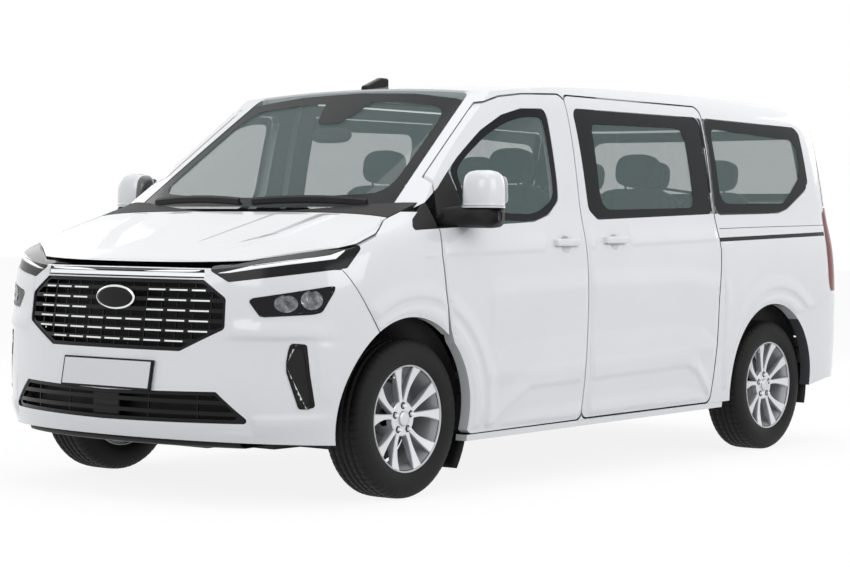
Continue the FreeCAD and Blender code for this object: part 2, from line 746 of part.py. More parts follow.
def build_front_lamps():
    """Lower lamps and air slots, each pair as two solids of one node."""
    face = one_solid(front(size("glass_step"), size("glass_step")))
    fit = size("fit_gap")
    lamp = facing_prism(FOG_SHARES, LAMP_ANGLE, -fit, size("wiper_wall"))
    lamp = one_solid(skin(lamp, face, nose_inner))
    keep("fog_lamps", Part.makeCompound([lamp, mirrored(lamp)]))
    vent = facing_prism(VENT_SHARES, CORNER_ANGLE, -fit, size("wiper_wall"))
    vent = one_solid(skin(vent, one_solid(front(size("grille_step"), 0)), nose_inner))
    keep("air_slots", Part.makeCompound([vent, mirrored(vent)]))


# Tail outlines: side view shares, and half widths as shares of the half width
TAIL_LAMP_SHARES = [(1.198, 0.444), (1.204, 0.688), (1.400, 0.688), (1.400, 0.444)]
REAR_BUMPER_SHARES = [
    (1.060, 0.378), (1.140, 0.402), (1.198, 0.440), (1.400, 0.440), (1.400, 0.196), (1.190, 0.190), (1.060, 0.158),
]
GATE_LOW_SHARE = 0.300
GATE_SPLIT_SHARE = 0.690
GATE_HALF_SHARE = 0.800
REAR_GLASS_SHARES = (1.220, 0.705, 0.930)


def behind(share, half, low, high, shrink=0):
    """A box over the tail: its front edge, half width and two heights."""
    start = x_at(share) - shrink
    wide = 2 * (half - shrink)
    return Part.makeBox(length, wide, high - low - 2 * shrink, Vector(start - length, -wide / 2, low + shrink))


def gate_tool(shrink=0):
    upper = behind(TAILGATE_START_SHARE, 2 * half_width, height * GATE_SPLIT_SHARE, far, shrink)
    half = half_width * GATE_HALF_SHARE
    lower = behind(TAILGATE_START_SHARE, half, height * GATE_LOW_SHARE, height, shrink)
    return upper.fuse(lower)


def build_tail():
    """Tailgate with its glass, the lamps beside it and the bumper below it."""
    start, low, high = REAR_GLASS_SHARES
    roof_half = half_width * ROOF_PLAN_SHARES[-1][1] + gap
    roof_end = x_at(ROOF_PLAN_SHARES[-1][0]) - gap * 1.1
    roof_edge = Part.makeBox(length, 2 * roof_half, height, Vector(roof_end, -roof_half, height * high))
    gate = skin(gate_tool(gap / 2), outer, inner)
    gate = gate.cut([roof_edge, behind(start, far, height * low, height * high)])
    keep("tailgate", one_solid(gate))
    pane = behind(start, far, height * low, height * high, size("fit_gap"))
    keep("tailgate_glass", one_solid(skin(pane, glass_outer, glass_inner)))
    cutters = [gate_tool(-gap / 2)]
    lamp = side_prism(TAIL_LAMP_SHARES, -size("fit_gap"), size("fit_gap"))
    lamp = one_solid(skin(lamp, outer, inner).cut(cutters))
    keep("tail_lamps", Part.makeCompound([lamp, mirrored(lamp)]))
    tools = arches()
    bumper = skin(across_prism(REAR_BUMPER_SHARES, -size("fit_gap")), outer, inner)
    keep("rear_bumper", one_solid(bumper.cut(cutters + tools + [mirrored(tool) for tool in tools])))


RAIL_SHARES = [(0.8145, 0.586), (1.186, 0.606), (1.186, 0.617), (0.8145, 0.597)]
ROLLER_SHARES = [(0.8060, 0.588), (0.8145, 0.588), (0.8145, 0.595), (0.8060, 0.595)]
SILL_SHARES = [(0.122, 0.119), (0.122, 0.1335), (0.826, 0.1505), (0.826, 0.136)]


def build_rails():
    """Sliding door rails let into the quarters, and mouldings under the sills."""
    rail = side_prism(RAIL_SHARES, -size("fit_gap"), size("fit_gap"))
    rail = one_solid(skin(rail, side_glass_outer, wrap_solid(size("rail_depth") - size("fit_gap"))))
    keep("slide_rails", Part.makeCompound([rail, mirrored(rail)]))
    sill = side_prism(SILL_SHARES, 0, size("fit_gap"))
    sill = one_solid(skin(sill, outer, inner))
    keep("sill_mouldings", Part.makeCompound([sill, mirrored(sill)]))


def build_pillar_trims():
    """The fixed front corners of the side window trim, ahead of the doors."""
    ahead = Part.makeBox(length, far, far, Vector(x_at(FRONT_DOOR_SHARES[4][0]), -far / 2, -far / 2))
    door = side_prism(FRONT_DOOR_SHARES, gap)
    trim = side_prism(FRONT_GLASS_SHARES, -size("fit_gap")).common(ahead).cut(door)
    trim = one_solid(skin(trim, side_glass_outer, side_glass_inner))
    keep("pillar_trims", Part.makeCompound([trim, mirrored(trim)]))


def build_cowl():
    """The panel between the bonnet's rear edge and the windscreen's foot."""
    plan = plan_prism(both_sides(COWL_PLAN_SHARES), 0, size("fit_gap")).cut(bonnet_tool(gap))
    screen = outer.common(slab(height * COWL_FOOT_SHARE, far))
    keep("cowl", one_solid(skin(plan, nose_outer, nose_inner).cut(screen)))


MIRROR_SHARES = (0.120, 1.058, 0.684)
ARM_SHARES = (0.100, 0.930, 0.628)


def build_mirrors():
    """Door mirrors: trim plate on the door, arm and housing in one piece."""
    ahead = Part.makeBox(length, far, far, Vector(x_at(SAIL_SPLIT_SHARE) + size("fit_gap"), -far / 2, -far / 2))
    door = side_prism(FRONT_DOOR_SHARES, -size("fit_gap"))
    plate = side_prism(FRONT_GLASS_SHARES, -size("fit_gap")).common(ahead).common(door)
    plate = one_solid(skin(plate, side_glass_outer, side_glass_inner))
    middle = Vector(x_at(MIRROR_SHARES[0]), half_width * MIRROR_SHARES[1], height * MIRROR_SHARES[2])
    sizes = Vector(size("mirror_length"), size("mirror_width"), size("mirror_height"))
    housing = Part.makeBox(*sizes, middle - sizes / 2)
    housing = housing.makeFillet(size("mirror_round"), housing.Edges)
    foot = Vector(x_at(ARM_SHARES[0]), half_width * ARM_SHARES[1] - size("mirror_arm") / 2, height * ARM_SHARES[2])
    reach = Vector(middle.x, middle.y, foot.z + size("mirror_arm") / 4) - foot
    arm = Part.makeCylinder(size("mirror_arm") / 2, reach.Length, foot, reach)
    keep_pair("mirror", one_solid(plate.fuse([arm, housing]).cut(side_glass_inner)))


HANDLE_PLACE_SHARES = {"front_door": (0.361, 0.582), "sliding_door": (0.495, 0.589)}


def with_handle(door, place_shares):
    """A door skin with a finger cup cut in and a pull bar over it."""
    x, z = x_at(place_shares[0]), height * place_shares[1]
    face = half_width * 0.985
    cup = Part.makeSphere(size("cup_radius"), Vector(x, face + size("cup_radius") * 0.72, z))
    reach = size("handle_reach")
    bar = Part.makeBox(size("handle_length"), reach, size("handle_height"))
    bar.translate(Vector(x - size("handle_length") / 2, face - reach / 2, z - size("handle_height") / 2))
    bar = bar.makeFillet(size("handle_height") * 0.3, bar.Edges)
    hollow = Part.makeBox(size("handle_length") * 0.66, reach, size("handle_height") * 2)
    hollow.translate(Vector(x - size("handle_length") * 0.33, face - reach * 0.72, z - size("handle_height")))
    return one_solid(door.cut(cup).fuse(bar.cut(hollow).cut(door_inner)))


FRONT = "(Sizes.body_length / 2 - Sizes.front_overhang)"
REAR = f"({FRONT} - Sizes.wheelbase)"
HUB = "Sizes.tyre_diameter / 2"
TURNS = {"x": Rotation(Vector(0, 1, 0), 90), "y": Rotation(Vector(1, 0, 0), -90), "z": Rotation()}


def bind(feature, values):
    """Tie properties of an object to sums of the sheet's sizes."""
    for key, rule in values.items():
        feature.setExpression(key, rule)
    return feature


def place(feature, x="0", y="0", z="0"):
    """Tie an object's place to sums of the sheet's sizes."""
    return bind(feature, {".Placement.Base.x": x, ".Placement.Base.y": y, ".Placement.Base.z": z})


def box(name, sizes, middle, low):
    """A block centred over a point of the plan, from a height upwards."""
    feature = doc.addObject("Part::Box", name)
    bind(feature, dict(zip(("Length", "Width", "Height"), sizes)))
    x, y = (f"({centre}) - ({full}) / 2" for centre, full in zip(middle, sizes))
    return place(feature, x, y, low)


def rod(name, radius, reach, start, axis):
    """A round bar from a point along x, y or z."""
    feature = doc.addObject("Part::Cylinder", name)
    bind(feature, {"Radius": radius, "Height": reach})
    feature.Placement = Placement(Vector(), TURNS[axis])
    return place(feature, *start)


def fuse(name, pieces):
    feature = doc.addObject("Part::MultiFuse", name)
    feature.Shapes = pieces
    return feature


def cut(name, base, tool):
    feature = doc.addObject("Part::Cut", name)
    feature.Base, feature.Tool = base, tool
    return feature


def mirror(name, source):
    feature = doc.addObject("Part::Mirroring", name)
    feature.Source = source
    feature.Normal = left
    return feature


def origin_plane(body, role):
    return next(item for item in body.Origin.OriginFeatures if item.Role == role)


def sketch_polygon(body, name, role, rules):
    """A closed polygon on an origin plane, each corner tied to two rules."""
    sketch = body.newObject("Sketcher::SketchObject", name)
    sketch.AttachmentSupport = [(origin_plane(body, role), "")]
    sketch.MapMode = "FlatFace"
    corners = [Vector(*(float(sheet.evalExpression(rule)) for rule in pair), 0) for pair in rules]
    for corner, following in zip(corners, corners[1:] + corners[:1]):
        sketch.addGeometry(Part.LineSegment(corner, following), False)
    count = len(corners)
    for index in range(count):
        sketch.addConstraint(Sketcher.Constraint("Coincident", index, 2, (index + 1) % count, 1))
    for index, (pair, corner) in enumerate(zip(rules, corners)):
        for kind, rule, value in zip(("DistanceX", "DistanceY"), pair, corner):
            number = sketch.addConstraint(Sketcher.Constraint(kind, -1, 1, index, 1, value))
            sketch.setExpression(f"Constraints[{number}]", rule)
    return sketch


# Wheels
TYRE_RULES = [
    ("Sizes.rim_diameter / 2 + Sizes.fit_gap", "-(Sizes.rim_width / 2 - Sizes.rim_lip)"),
    ("Sizes.rim_diameter / 2 + Sizes.rim_lip + Sizes.fit_gap", "-(Sizes.rim_width / 2 - Sizes.rim_lip)"),
    ("Sizes.rim_diameter / 2 + Sizes.rim_lip + Sizes.fit_gap", "-Sizes.rim_width / 2"),
    ("Sizes.tyre_diameter * 0.405", "-Sizes.tyre_width / 2"),
    ("Sizes.tyre_diameter * 0.452", "-(Sizes.tyre_width / 2 - Sizes.tyre_bulge / 2)"),
    ("Sizes.tyre_diameter / 2 - Sizes.tyre_shoulder / 2", "-(Sizes.tyre_width / 2 - Sizes.tyre_shoulder * 0.6)"),
    ("Sizes.tyre_diameter / 2 - Sizes.tyre_shoulder / 7", "-(Sizes.tyre_width / 2 - Sizes.tyre_shoulder * 1.3)"),
    ("Sizes.tyre_diameter / 2", "-(Sizes.tyre_width / 2 - Sizes.tyre_shoulder * 2.2)"),
]


def opposite(rule):
    return rule[1:] if rule.startswith("-") else f"-({rule})"


def build_tyre(name):
    body = doc.addObject("PartDesign::Body", name)
    rules = TYRE_RULES + [(radius, opposite(side)) for radius, side in reversed(TYRE_RULES)]
    profile = sketch_polygon(body, f"{name}_profile", "XY_Plane", rules)
    revolve(body, f"{name}_ring", profile)
    return body


def revolve(body, name, profile):
    ring = body.newObject("PartDesign::Revolution", name)
    ring.Profile = profile
    ring.ReferenceAxis = (profile, ["V_Axis"])
    ring.Angle = 360
    body.Tip = ring
    return ring


RIM_RULES = [
    ("Sizes.fit_gap / 9", "Sizes.hub_face + Sizes.rim_wall"),
    ("Sizes.centre_cap_diameter / 2", "Sizes.hub_face + Sizes.rim_wall"),
    ("Sizes.centre_cap_diameter / 2 + Sizes.fit_gap", "Sizes.hub_face"),
    ("Sizes.hub_diameter / 2", "Sizes.hub_face + Sizes.fit_gap"),
    ("Sizes.rim_diameter / 2 - 2 * Sizes.rim_wall", "Sizes.rim_width / 2 - Sizes.rim_wall"),
    ("Sizes.rim_diameter / 2 + Sizes.rim_lip - Sizes.rim_wall / 2", "Sizes.rim_width / 2"),
    ("Sizes.rim_diameter / 2 + Sizes.rim_lip", "Sizes.rim_width / 2 - Sizes.rim_wall / 2"),
    ("Sizes.rim_diameter / 2 + Sizes.rim_lip", "Sizes.rim_width / 2 - Sizes.rim_lip + 2 * Sizes.fit_gap"),
    ("Sizes.rim_diameter / 2", "Sizes.rim_width / 2 - Sizes.rim_lip"),
    ("Sizes.rim_diameter / 2 + Sizes.fit_gap / 2", "-(Sizes.rim_width / 2 - Sizes.rim_lip)"),
    ("Sizes.rim_diameter / 2 + Sizes.rim_lip", "-(Sizes.rim_width / 2 - Sizes.rim_lip + 2 * Sizes.fit_gap)"),
    ("Sizes.rim_diameter / 2 + Sizes.rim_lip", "-Sizes.rim_width / 2"),
    ("Sizes.rim_diameter / 2 - Sizes.rim_wall", "-Sizes.rim_width / 2"),
    ("Sizes.rim_diameter / 2 - Sizes.rim_wall - Sizes.fit_gap", "Sizes.rim_width / 2 - Sizes.rim_wall - Sizes.spoke_depth"),
    ("Sizes.hub_diameter / 2", "Sizes.hub_face - Sizes.spoke_depth"),
    ("Sizes.hub_diameter / 2", "-(Sizes.disc_step - Sizes.disc_wall)"),
    ("Sizes.disc_diameter / 2", "-(Sizes.disc_step - Sizes.disc_wall)"),
    ("Sizes.disc_diameter / 2", "-Sizes.disc_step"),
    ("Sizes.fit_gap / 9", "-Sizes.disc_step"),
]
# Window corners: radius and half angle as shares of the rim's radius and of a turn
WIDE_WINDOW_SHARES = [(0.42, 0.030), (0.60, 0.038), (0.905, 0.044)]
NARROW_WINDOW_SHARES = [(0.47, 0.012), (0.62, 0.019), (0.905, 0.029)]
SPOKE_PAIRS = 5


def window_rules(shares, middle_share):
    """Corners of one opening between spokes, mirrored about its middle line."""
    edge = [(radius, middle_share + angle) for radius, angle in shares]
    edge += [(shares[-1][0] * 1.012, middle_share)]
    edge += [(radius, middle_share - angle) for radius, angle in reversed(shares)]
    rules = []
    for radius, angle in edge:
        base = f"Sizes.rim_diameter / 2 * {radius}"
        turn = f"{angle * 360:.3f} deg"
        rules.append((f"{base} * cos({turn})", f"{base} * sin({turn})"))
    return rules


def cut_windows(body, name, shares, middle_share):
    """Cut one opening through the wheel's face and repeat it round the hub."""
    profile = sketch_polygon(body, f"{name}_outline", "XZ_Plane", window_rules(shares, middle_share))
    doc.recompute()
    before = body.Shape.Volume
    pocket = body.newObject("PartDesign::Pocket", name)
    pocket.Profile = profile
    pocket.setExpression("Length", "Sizes.rim_width / 2 + Sizes.rim_wall")
    body.Tip = pocket
    doc.recompute()
    if before - body.Shape.Volume < before * 0.001 or pocket_cuts_disc(body):
        pocket.Reversed = True
        doc.recompute()
    axis = origin_plane(body, "Y_Axis")
    turn = body.newObject("PartDesign::PolarPattern", f"{name}s")
    turn.Originals = [pocket]
    turn.Axis = (axis, [""])
    turn.Angle = 360
    turn.Occurrences = SPOKE_PAIRS
    body.Tip = turn


def pocket_cuts_disc(body):
    """Whether the last opening went towards the brake disc."""
    slice_box = Part.makeBox(far, size("disc_wall"), far, Vector(-far / 2, -size("disc_step"), -far / 2))
    disc = math.pi * (size("disc_diameter") / 2) ** 2 * size("disc_wall")
    kept = body.Shape.common(slice_box).Volume
    barrel = math.pi * ((size("rim_diameter") / 2) ** 2 - (size("rim_diameter") / 2 - size("rim_wall")) ** 2)
    return kept < (disc + barrel * size("disc_wall")) * 0.99


def build_wheel(name):
    body = doc.addObject("PartDesign::Body", name)
    profile = sketch_polygon(body, f"{name}_profile", "XY_Plane", RIM_RULES)
    revolve(body, f"{name}_ring", profile)
    doc.recompute()
    cut_windows(body, f"{name}_wide_window", WIDE_WINDOW_SHARES, 0.5 / SPOKE_PAIRS)
    cut_windows(body, f"{name}_narrow_window", NARROW_WINDOW_SHARES, 0)
    return body


def wheel_places():
    """Name, axle and side of each wheel."""
    return [
        ("front_left", FRONT, 1), ("front_right", FRONT, -1),
        ("rear_left", REAR, 1), ("rear_right", REAR, -1),
    ]


def build_wheels():
    """Four road wheels, each a tyre over a rim with its brake disc."""
    for name, axle, side in wheel_places():
        for kind, body in (("tyre", build_tyre(f"tyre_{name}")), ("wheel", build_wheel(f"wheel_{name}"))):
            if side < 0:
                body.Placement = Placement(Vector(), Rotation(up, 180))
            across = "Sizes.track / 2" if side > 0 else "-Sizes.track / 2"
            keep_object(f"{kind}_{name}", place(body, axle, across, HUB))


STUB_START = "(Sizes.track / 2 - Sizes.disc_step - Sizes.fit_gap - Sizes.stub_length)"
KNUCKLE_LOW = f"({HUB} - Sizes.knuckle_height / 2)"
FLOOR_UNDER = "(Sizes.floor_height - Sizes.floor_wall)"
FLOOR_SHARES = (0.028, 1.180)


def caliper(name, axle, side_rule):
    """A brake caliper that straddles the disc behind the hub."""
    length_rule = "Sizes.caliper_reach"
    middle = f"{axle} - Sizes.disc_diameter / 2 + Sizes.caliper_reach / 4"
    low = f"{HUB} - Sizes.caliper_length / 2"
    block = box(
        f"{name}_block", (length_rule, "Sizes.caliper_width", "Sizes.caliper_length"), (middle, side_rule), low
    )
    slot = rod(
        f"{name}_slot", "Sizes.disc_diameter / 2 + Sizes.seat_gap", "Sizes.disc_wall + 2 * Sizes.seat_gap",
        (axle, "Sizes.track / 2 - Sizes.disc_step - Sizes.seat_gap", HUB), "y",
    )
    return cut(name, block, slot)


def build_knuckles():
    """Front knuckles: stub, upright, caliper and strut, one per side."""
    stub = rod("knuckle_stub", "Sizes.stub_diameter / 2", "Sizes.stub_length", (FRONT, STUB_START, HUB), "y")
    upright_middle = f"{STUB_START} + Sizes.knuckle_wall / 2"
    upright = box(
        "knuckle_upright", ("Sizes.knuckle_length", "Sizes.knuckle_wall", "Sizes.knuckle_height"),
        (FRONT, upright_middle), KNUCKLE_LOW,
    )
    bracket = box(
        "knuckle_bracket", ("Sizes.disc_diameter / 2", "Sizes.knuckle_wall / 2", "Sizes.knuckle_length"),
        (f"{FRONT} - Sizes.disc_diameter / 4", f"{STUB_START} + Sizes.knuckle_wall * 3 / 4"),
        f"{HUB} - Sizes.knuckle_length / 2",
    )
    grip = caliper("knuckle_caliper", FRONT, f"{STUB_START} + Sizes.knuckle_wall / 2 + Sizes.caliper_width / 2")
    strut_y = f"{STUB_START} - Sizes.strut_step"
    strut = rod(
        "knuckle_strut", "Sizes.spring_diameter / 2", "Sizes.strut_length",
        (FRONT, strut_y, f"{HUB} + Sizes.knuckle_height / 2"), "z",
    )
    neck = box(
        "knuckle_neck", ("Sizes.knuckle_length", "Sizes.strut_step + Sizes.knuckle_wall", "Sizes.knuckle_wall"),
        (FRONT, f"{STUB_START} + (Sizes.knuckle_wall - Sizes.strut_step) / 2"),
        f"{HUB} + Sizes.knuckle_height / 2 - Sizes.knuckle_wall",
    )
    left_knuckle = fuse("knuckle_left", [stub, upright, bracket, grip, strut, neck])
    keep_object("knuckle_left", left_knuckle)
    keep_object("knuckle_right", mirror("knuckle_right", left_knuckle))


def build_front_axle():
    """The front subframe with its lower arms, which end under the knuckles."""
    low = f"{KNUCKLE_LOW} - Sizes.fit_gap - Sizes.arm_wall"
    beam = box("subframe_beam", ("Sizes.subframe_length", "Sizes.subframe_width", "Sizes.arm_wall"), (FRONT, "0"), low)
    reach = f"2 * ({STUB_START} + Sizes.knuckle_wall)"
    arms = box("subframe_arms", ("Sizes.arm_width", reach, "Sizes.arm_wall"), (FRONT, "0"), low)
    top = f"{low} + Sizes.arm_wall"
    riser = box(
        "subframe_riser", ("Sizes.mount_width", "Sizes.mount_width", f"{FLOOR_UNDER} - Sizes.fit_gap - ({top})"),
        (f"{FRONT} - Sizes.wheelbase * {FLOOR_SHARES[0]} - Sizes.mount_width / 2", "Sizes.subframe_width * 0.4"), top,
    )
    other = mirror("subframe_riser_other_side", riser)
    keep_object("front_axle", fuse("front_axle", [beam, arms, riser, other]))


def build_rear_axle():
    """The rear axle beam with trailing arms, springs, stubs and calipers."""
    stub = rod("rear_stub", "Sizes.stub_diameter / 2", "Sizes.stub_length", (REAR, STUB_START, HUB), "y")
    arm = box(
        "rear_arm", ("Sizes.rear_arm_length", "Sizes.knuckle_wall", "Sizes.axle_diameter"),
        (f"{REAR} + Sizes.rear_arm_length / 2 - Sizes.axle_diameter / 2", f"{STUB_START} + Sizes.knuckle_wall / 2"),
        f"{HUB} - Sizes.axle_diameter / 2",
    )
    grip = caliper("rear_caliper", REAR, f"{STUB_START} + Sizes.knuckle_wall / 2 + Sizes.caliper_width / 2")
    bracket = box(
        "rear_bracket", ("Sizes.disc_diameter / 2", "Sizes.knuckle_wall / 2", "Sizes.knuckle_length"),
        (f"{REAR} - Sizes.disc_diameter / 4", f"{STUB_START} + Sizes.knuckle_wall * 3 / 4"),
        f"{HUB} - Sizes.knuckle_length / 2",
    )
    beam_x = f"{REAR} + Sizes.rear_arm_length * 0.6"
    half = "(Sizes.track / 2 - Sizes.disc_step - Sizes.stub_length + Sizes.knuckle_wall / 2)"
    beam = rod("rear_beam", "Sizes.axle_diameter / 2", half, (beam_x, "0", HUB), "y")
    spring = rod(
        "rear_spring", "Sizes.spring_diameter / 2", f"{FLOOR_UNDER} - Sizes.fit_gap - {HUB}",
        (beam_x, f"{half} * 0.60", HUB), "z",
    )
    side = fuse("rear_axle_side", [stub, arm, grip, bracket, beam, spring])
    keep_object("rear_axle", fuse("rear_axle", [side, mirror("rear_axle_other_side", side)]))


def build_under():
    """Engine block, fuel tank and exhaust."""
    engine_x = f"{FRONT} + Sizes.engine_step"
    engine = box("engine_block", ("Sizes.engine_length", "Sizes.engine_width", "Sizes.engine_height"),
                 (engine_x, "0"), KNUCKLE_LOW)
    keep_object("engine_block", engine)
    tank = box("fuel_tank", ("Sizes.tank_length", "Sizes.tank_width", "Sizes.tank_height"),
               (f"{FRONT} - Sizes.wheelbase * 0.42", "Sizes.tank_width * 0.9"),
               f"{FLOOR_UNDER} - Sizes.fit_gap - Sizes.tank_height")
    keep_object("fuel_tank", tank)


def build_exhaust():
    """The exhaust pipe under the floor with its silencer."""
    radius = size("exhaust_diameter") / 2
    level = size("floor_height") - size("floor_wall") - size("fit_gap") - size("silencer_height") / 2
    y = -half_width * 0.34
    start = x_at(0.10)
    end = x_at(0.86)
    pipe = Part.makeCylinder(radius, start - end, Vector(end, y, level), Vector(1, 0, 0))
    silencer = Part.makeBox(size("silencer_length"), size("silencer_width"), size("silencer_height"))
    silencer.translate(Vector(x_at(0.60), y - size("silencer_width") / 2, level - size("silencer_height") / 2))
    silencer = silencer.makeFillet(size("silencer_height") * 0.3, silencer.Edges)
    keep("exhaust", one_solid(pipe.fuse(silencer).removeSplitter()))


DASH_SHARES = [
    (0.0378, 0.640), (0.150, 0.622), (0.188, 0.600), (0.205, 0.560), (0.170, 0.470), (0.120, 0.440), (0.0378, 0.440),
]
ROCKER_SHARES = [(0.135, 0.120), (0.135, 0.264), (0.826, 0.264), (0.826, 0.137)]


def build_floor():
    """The floor pan with its front bulkhead, inner sills and wheel boxes."""
    start, end = x_at(FLOOR_SHARES[0]), x_at(FLOOR_SHARES[1])
    top, wall = size("floor_height"), size("floor_wall")
    fit = size("fit_gap")
    room = cabin(size("wall") + fit, size("roof_wall") + fit)
    low = [
        Part.makeBox(start - end, far, wall, Vector(end, -far / 2, top - wall)),
        Part.makeBox(wall, far, height * 0.655 - top + wall, Vector(start - wall, -far / 2, top - wall)),
    ]
    pan = low[0].fuse(low[1])
    rocker = side_prism(ROCKER_SHARES, 0, fit)
    rocker = rocker.cut(Part.makeBox(far, half_width * 0.80, far, Vector(-far / 2, 0, -far / 2)))
    pan = pan.fuse([rocker, mirrored(rocker)]).common(room)
    tools = [wheel_house(tool) for tool in arches(size("liner_step") + size("liner_wall") + fit)]
    behind_posts = cabin(size("pillar_step") + size("pillar_wall") + fit, 0)
    tools += [side_prism(shares, fit, fit).cut(behind_posts) for shares in (PILLAR_SHARES, REAR_PILLAR_SHARES)]
    pan = pan.cut(tools + [mirrored(tool) for tool in tools])
    keep("floor", one_solid(pan.removeSplitter()))


def wheel_house(tool):
    """The outboard part of an arch, down to the liner's inner wall."""
    depth = size("liner_inner") - size("liner_wall") - size("fit_gap")
    block = Part.makeBox(far, far, far, Vector(-far / 2, depth, -far / 2))
    return tool.common(block)


def build_liners():
    """Wheel arch liners, closed on their inner side."""
    fit = size("fit_gap")
    room = wrap_solid(size("wall") + size("door_reach"))
    low = size("liner_low")
    liners = []
    for outside, inside in zip(arches(size("liner_step") + size("liner_wall")), arches(size("liner_step"))):
        depth = size("liner_inner")
        block = Part.makeBox(far, far, far, Vector(-far / 2, depth - size("liner_wall"), low))
        shell = outside.common(block).common(room)
        hole = inside.common(Part.makeBox(far, far, far, Vector(-far / 2, depth, -far / 2)))
        liner = one_solid(shell.cut(hole))
        liners += [liner, mirrored(liner)]
    keep("wheel_liners", Part.makeCompound(liners))


def build_dashboard():
    reach = size("wall") + size("door_reach") + size("seat_gap")
    shape = across_prism(DASH_SHARES, 0, size("corner_radius")).common(cabin(reach, size("roof_wall") + size("seat_gap")))
    tunnel = Part.makeCylinder(column_radius() + size("fit_gap"), size("column_length") + size("fit_gap"))
    tunnel.Placement = steering_place(-size("column_length") - size("fit_gap"))
    keep("dashboard", one_solid(shape.cut(tunnel)))


STEERING_SHARES = (0.212, 0.40, 0.585)


def steering_place(along):
    """The steering wheel's raked place, moved along its column."""
    x, y, z = STEERING_SHARES
    rake = Rotation(left, -90 + size("column_rake"))
    centre = Vector(x_at(x), half_width * y, height * z)
    return Placement(centre + rake.multVec(up * along), rake)


def column_radius():
    return size("steering_rim_diameter") * 0.55


def build_steering_wheel():
    """The steering wheel with three spokes on its column, raked back."""
    radius, thick = size("steering_wheel_diameter") / 2, size("steering_rim_diameter") / 2
    ring = Part.makeTorus(radius - thick, thick)
    hub = Part.makeCylinder(radius * 0.30, thick * 2, Vector(0, 0, -thick * 2))
    column = Part.makeCylinder(column_radius(), size("column_length"), Vector(0, 0, -size("column_length")))
    spokes = []
    for angle in (0, 180, 270):
        spoke = Part.makeBox(radius - thick, thick * 1.8, thick, Vector(0, -thick * 0.9, -thick * 1.5))
        spokes.append(spoke.rotate(Vector(), up, angle))
    shape = ring.fuse([hub, column] + spokes).removeSplitter()
    shape.Placement = steering_place(0)
    keep("steering_wheel", shape)


# Seats: side profile of cushion and back as shares of the seat's depth and of
# its backrest height, from the cushion's front lower edge.
SEAT_SHARES = [
    (0.00, 0.02), (0.00, 0.20), (0.10, 0.24), (0.78, 0.19), (1.02, 1.00), (1.18, 1.00), (1.10, 0.30), (0.98, 0.00),
    (0.10, 0.00),
]
SEAT_PLACE_SHARES = {
    "driver_seat": (0.290, 1, [0.40]),
    "passenger_seat": (0.290, 1, [-0.40]),
    "middle_seats": (0.600, 1, [0.52, 0.0, -0.52]),
    "rear_seats": (0.905, 0.915, [0.44, 0.0, -0.44]),
}


def seat(x, y, width):
    """One seat: cushion and back in one, headrest on its posts, and a foot."""
    depth, back = size("seat_depth"), size("backrest_height")
    low = size("floor_height") + size("seat_height")
    points = [(x - depth * px, low + back * pz) for px, pz in SEAT_SHARES]
    side = y - width / 2
    wire = rounded_wire(points, size("cushion_round"), lambda p: Vector(p.x, side, p.y))
    body = Part.Face(wire).extrude(left * width)
    top = Vector(points[4][0] / 2 + points[5][0] / 2, y, points[4][1])
    rest = Part.makeBox(size("headrest_wall"), size("headrest_width"), size("headrest_height"))
    rest.translate(top + Vector(-size("headrest_wall") / 2, -size("headrest_width") / 2, size("headrest_lift")))
    rest = rest.makeFillet(size("headrest_wall") * 0.3, rest.Edges)
    posts = []
    for offset in (-1, 1):
        foot = top + Vector(0, offset * size("headrest_width") / 4, -size("headrest_lift"))
        posts.append(Part.makeCylinder(size("post_diameter") / 2, 3 * size("headrest_lift"), foot))
    foot = Part.makeBox(depth * 0.7, width * 0.36, size("seat_height") + size("cushion_round"))
    foot.translate(Vector(x - depth * 0.85, y - width * 0.18, size("floor_height") + size("fit_gap")))
    return body.fuse([rest, foot] + posts)


def build_seats():
    for name, (x_share, width_share, places) in SEAT_PLACE_SHARES.items():
        seats = [seat(x_at(x_share), half_width * y, size("seat_width") * width_share) for y in places]
        keep(name, Part.makeCompound([solid for item in seats for solid in item.Solids]))


ANTENNA_SHARE = 0.296
WIPER_SHARES = [
    [(0.0240, 0.640), (0.0285, 0.640), (0.0035, 0.040), (-0.0010, 0.040)],
    [(-0.0010, -0.040), (0.0035, -0.040), (0.0285, -0.640), (0.0240, -0.640)],
]


def surface_height(form, x, y):
    """Height of a form's top over a point of the plan."""
    probe = Part.makeLine(Vector(x, y, 0), Vector(x, y, 2 * height))
    return probe.common(form).BoundBox.ZMax


def build_trim():
    """Front number plate, wipers and the roof antenna."""
    keep("front_plate", plate_block(0, size("plate_wall"), 0))
    long, tall, wide = size("antenna_length"), size("antenna_height"), size("antenna_wall")
    x = x_at(ANTENNA_SHARE)
    level = surface_height(outer, x, 0)
    rear, front_end = x - long / 2, x + long / 2
    outline = [
        Vector(rear, -wide / 2, level - tall), Vector(front_end, -wide / 2, level - tall),
        Vector(front_end, -wide / 2, level + tall * 0.1), Vector(rear + long * 0.3, -wide / 2, level + tall),
        Vector(rear, -wide / 2, level + tall),
    ]
    fin = Part.Face(Part.makePolygon(outline + outline[:1])).extrude(left * wide)
    fin = fin.makeFillet(wide * 0.3, fin.Edges)
    keep("antenna", one_solid(fin.cut(cabin(-size("fit_gap"), -size("fit_gap")))))
    over = cabin(0, -size("wiper_wall"))
    under = cabin(-size("wiper_wall"), size("glass_step") - size("fit_gap"))
    blades = []
    for shares in WIPER_SHARES:
        strip = plan_prism([(x_at(a), half_width * b) for a, b in shares], 0, size("fit_gap"))
        strip = strip.cut(slab(-far, height * COWL_SHARE + size("fit_gap")))
        blades.append(one_solid(skin(strip, over, under)))
    keep("wipers", Part.makeCompound(blades))


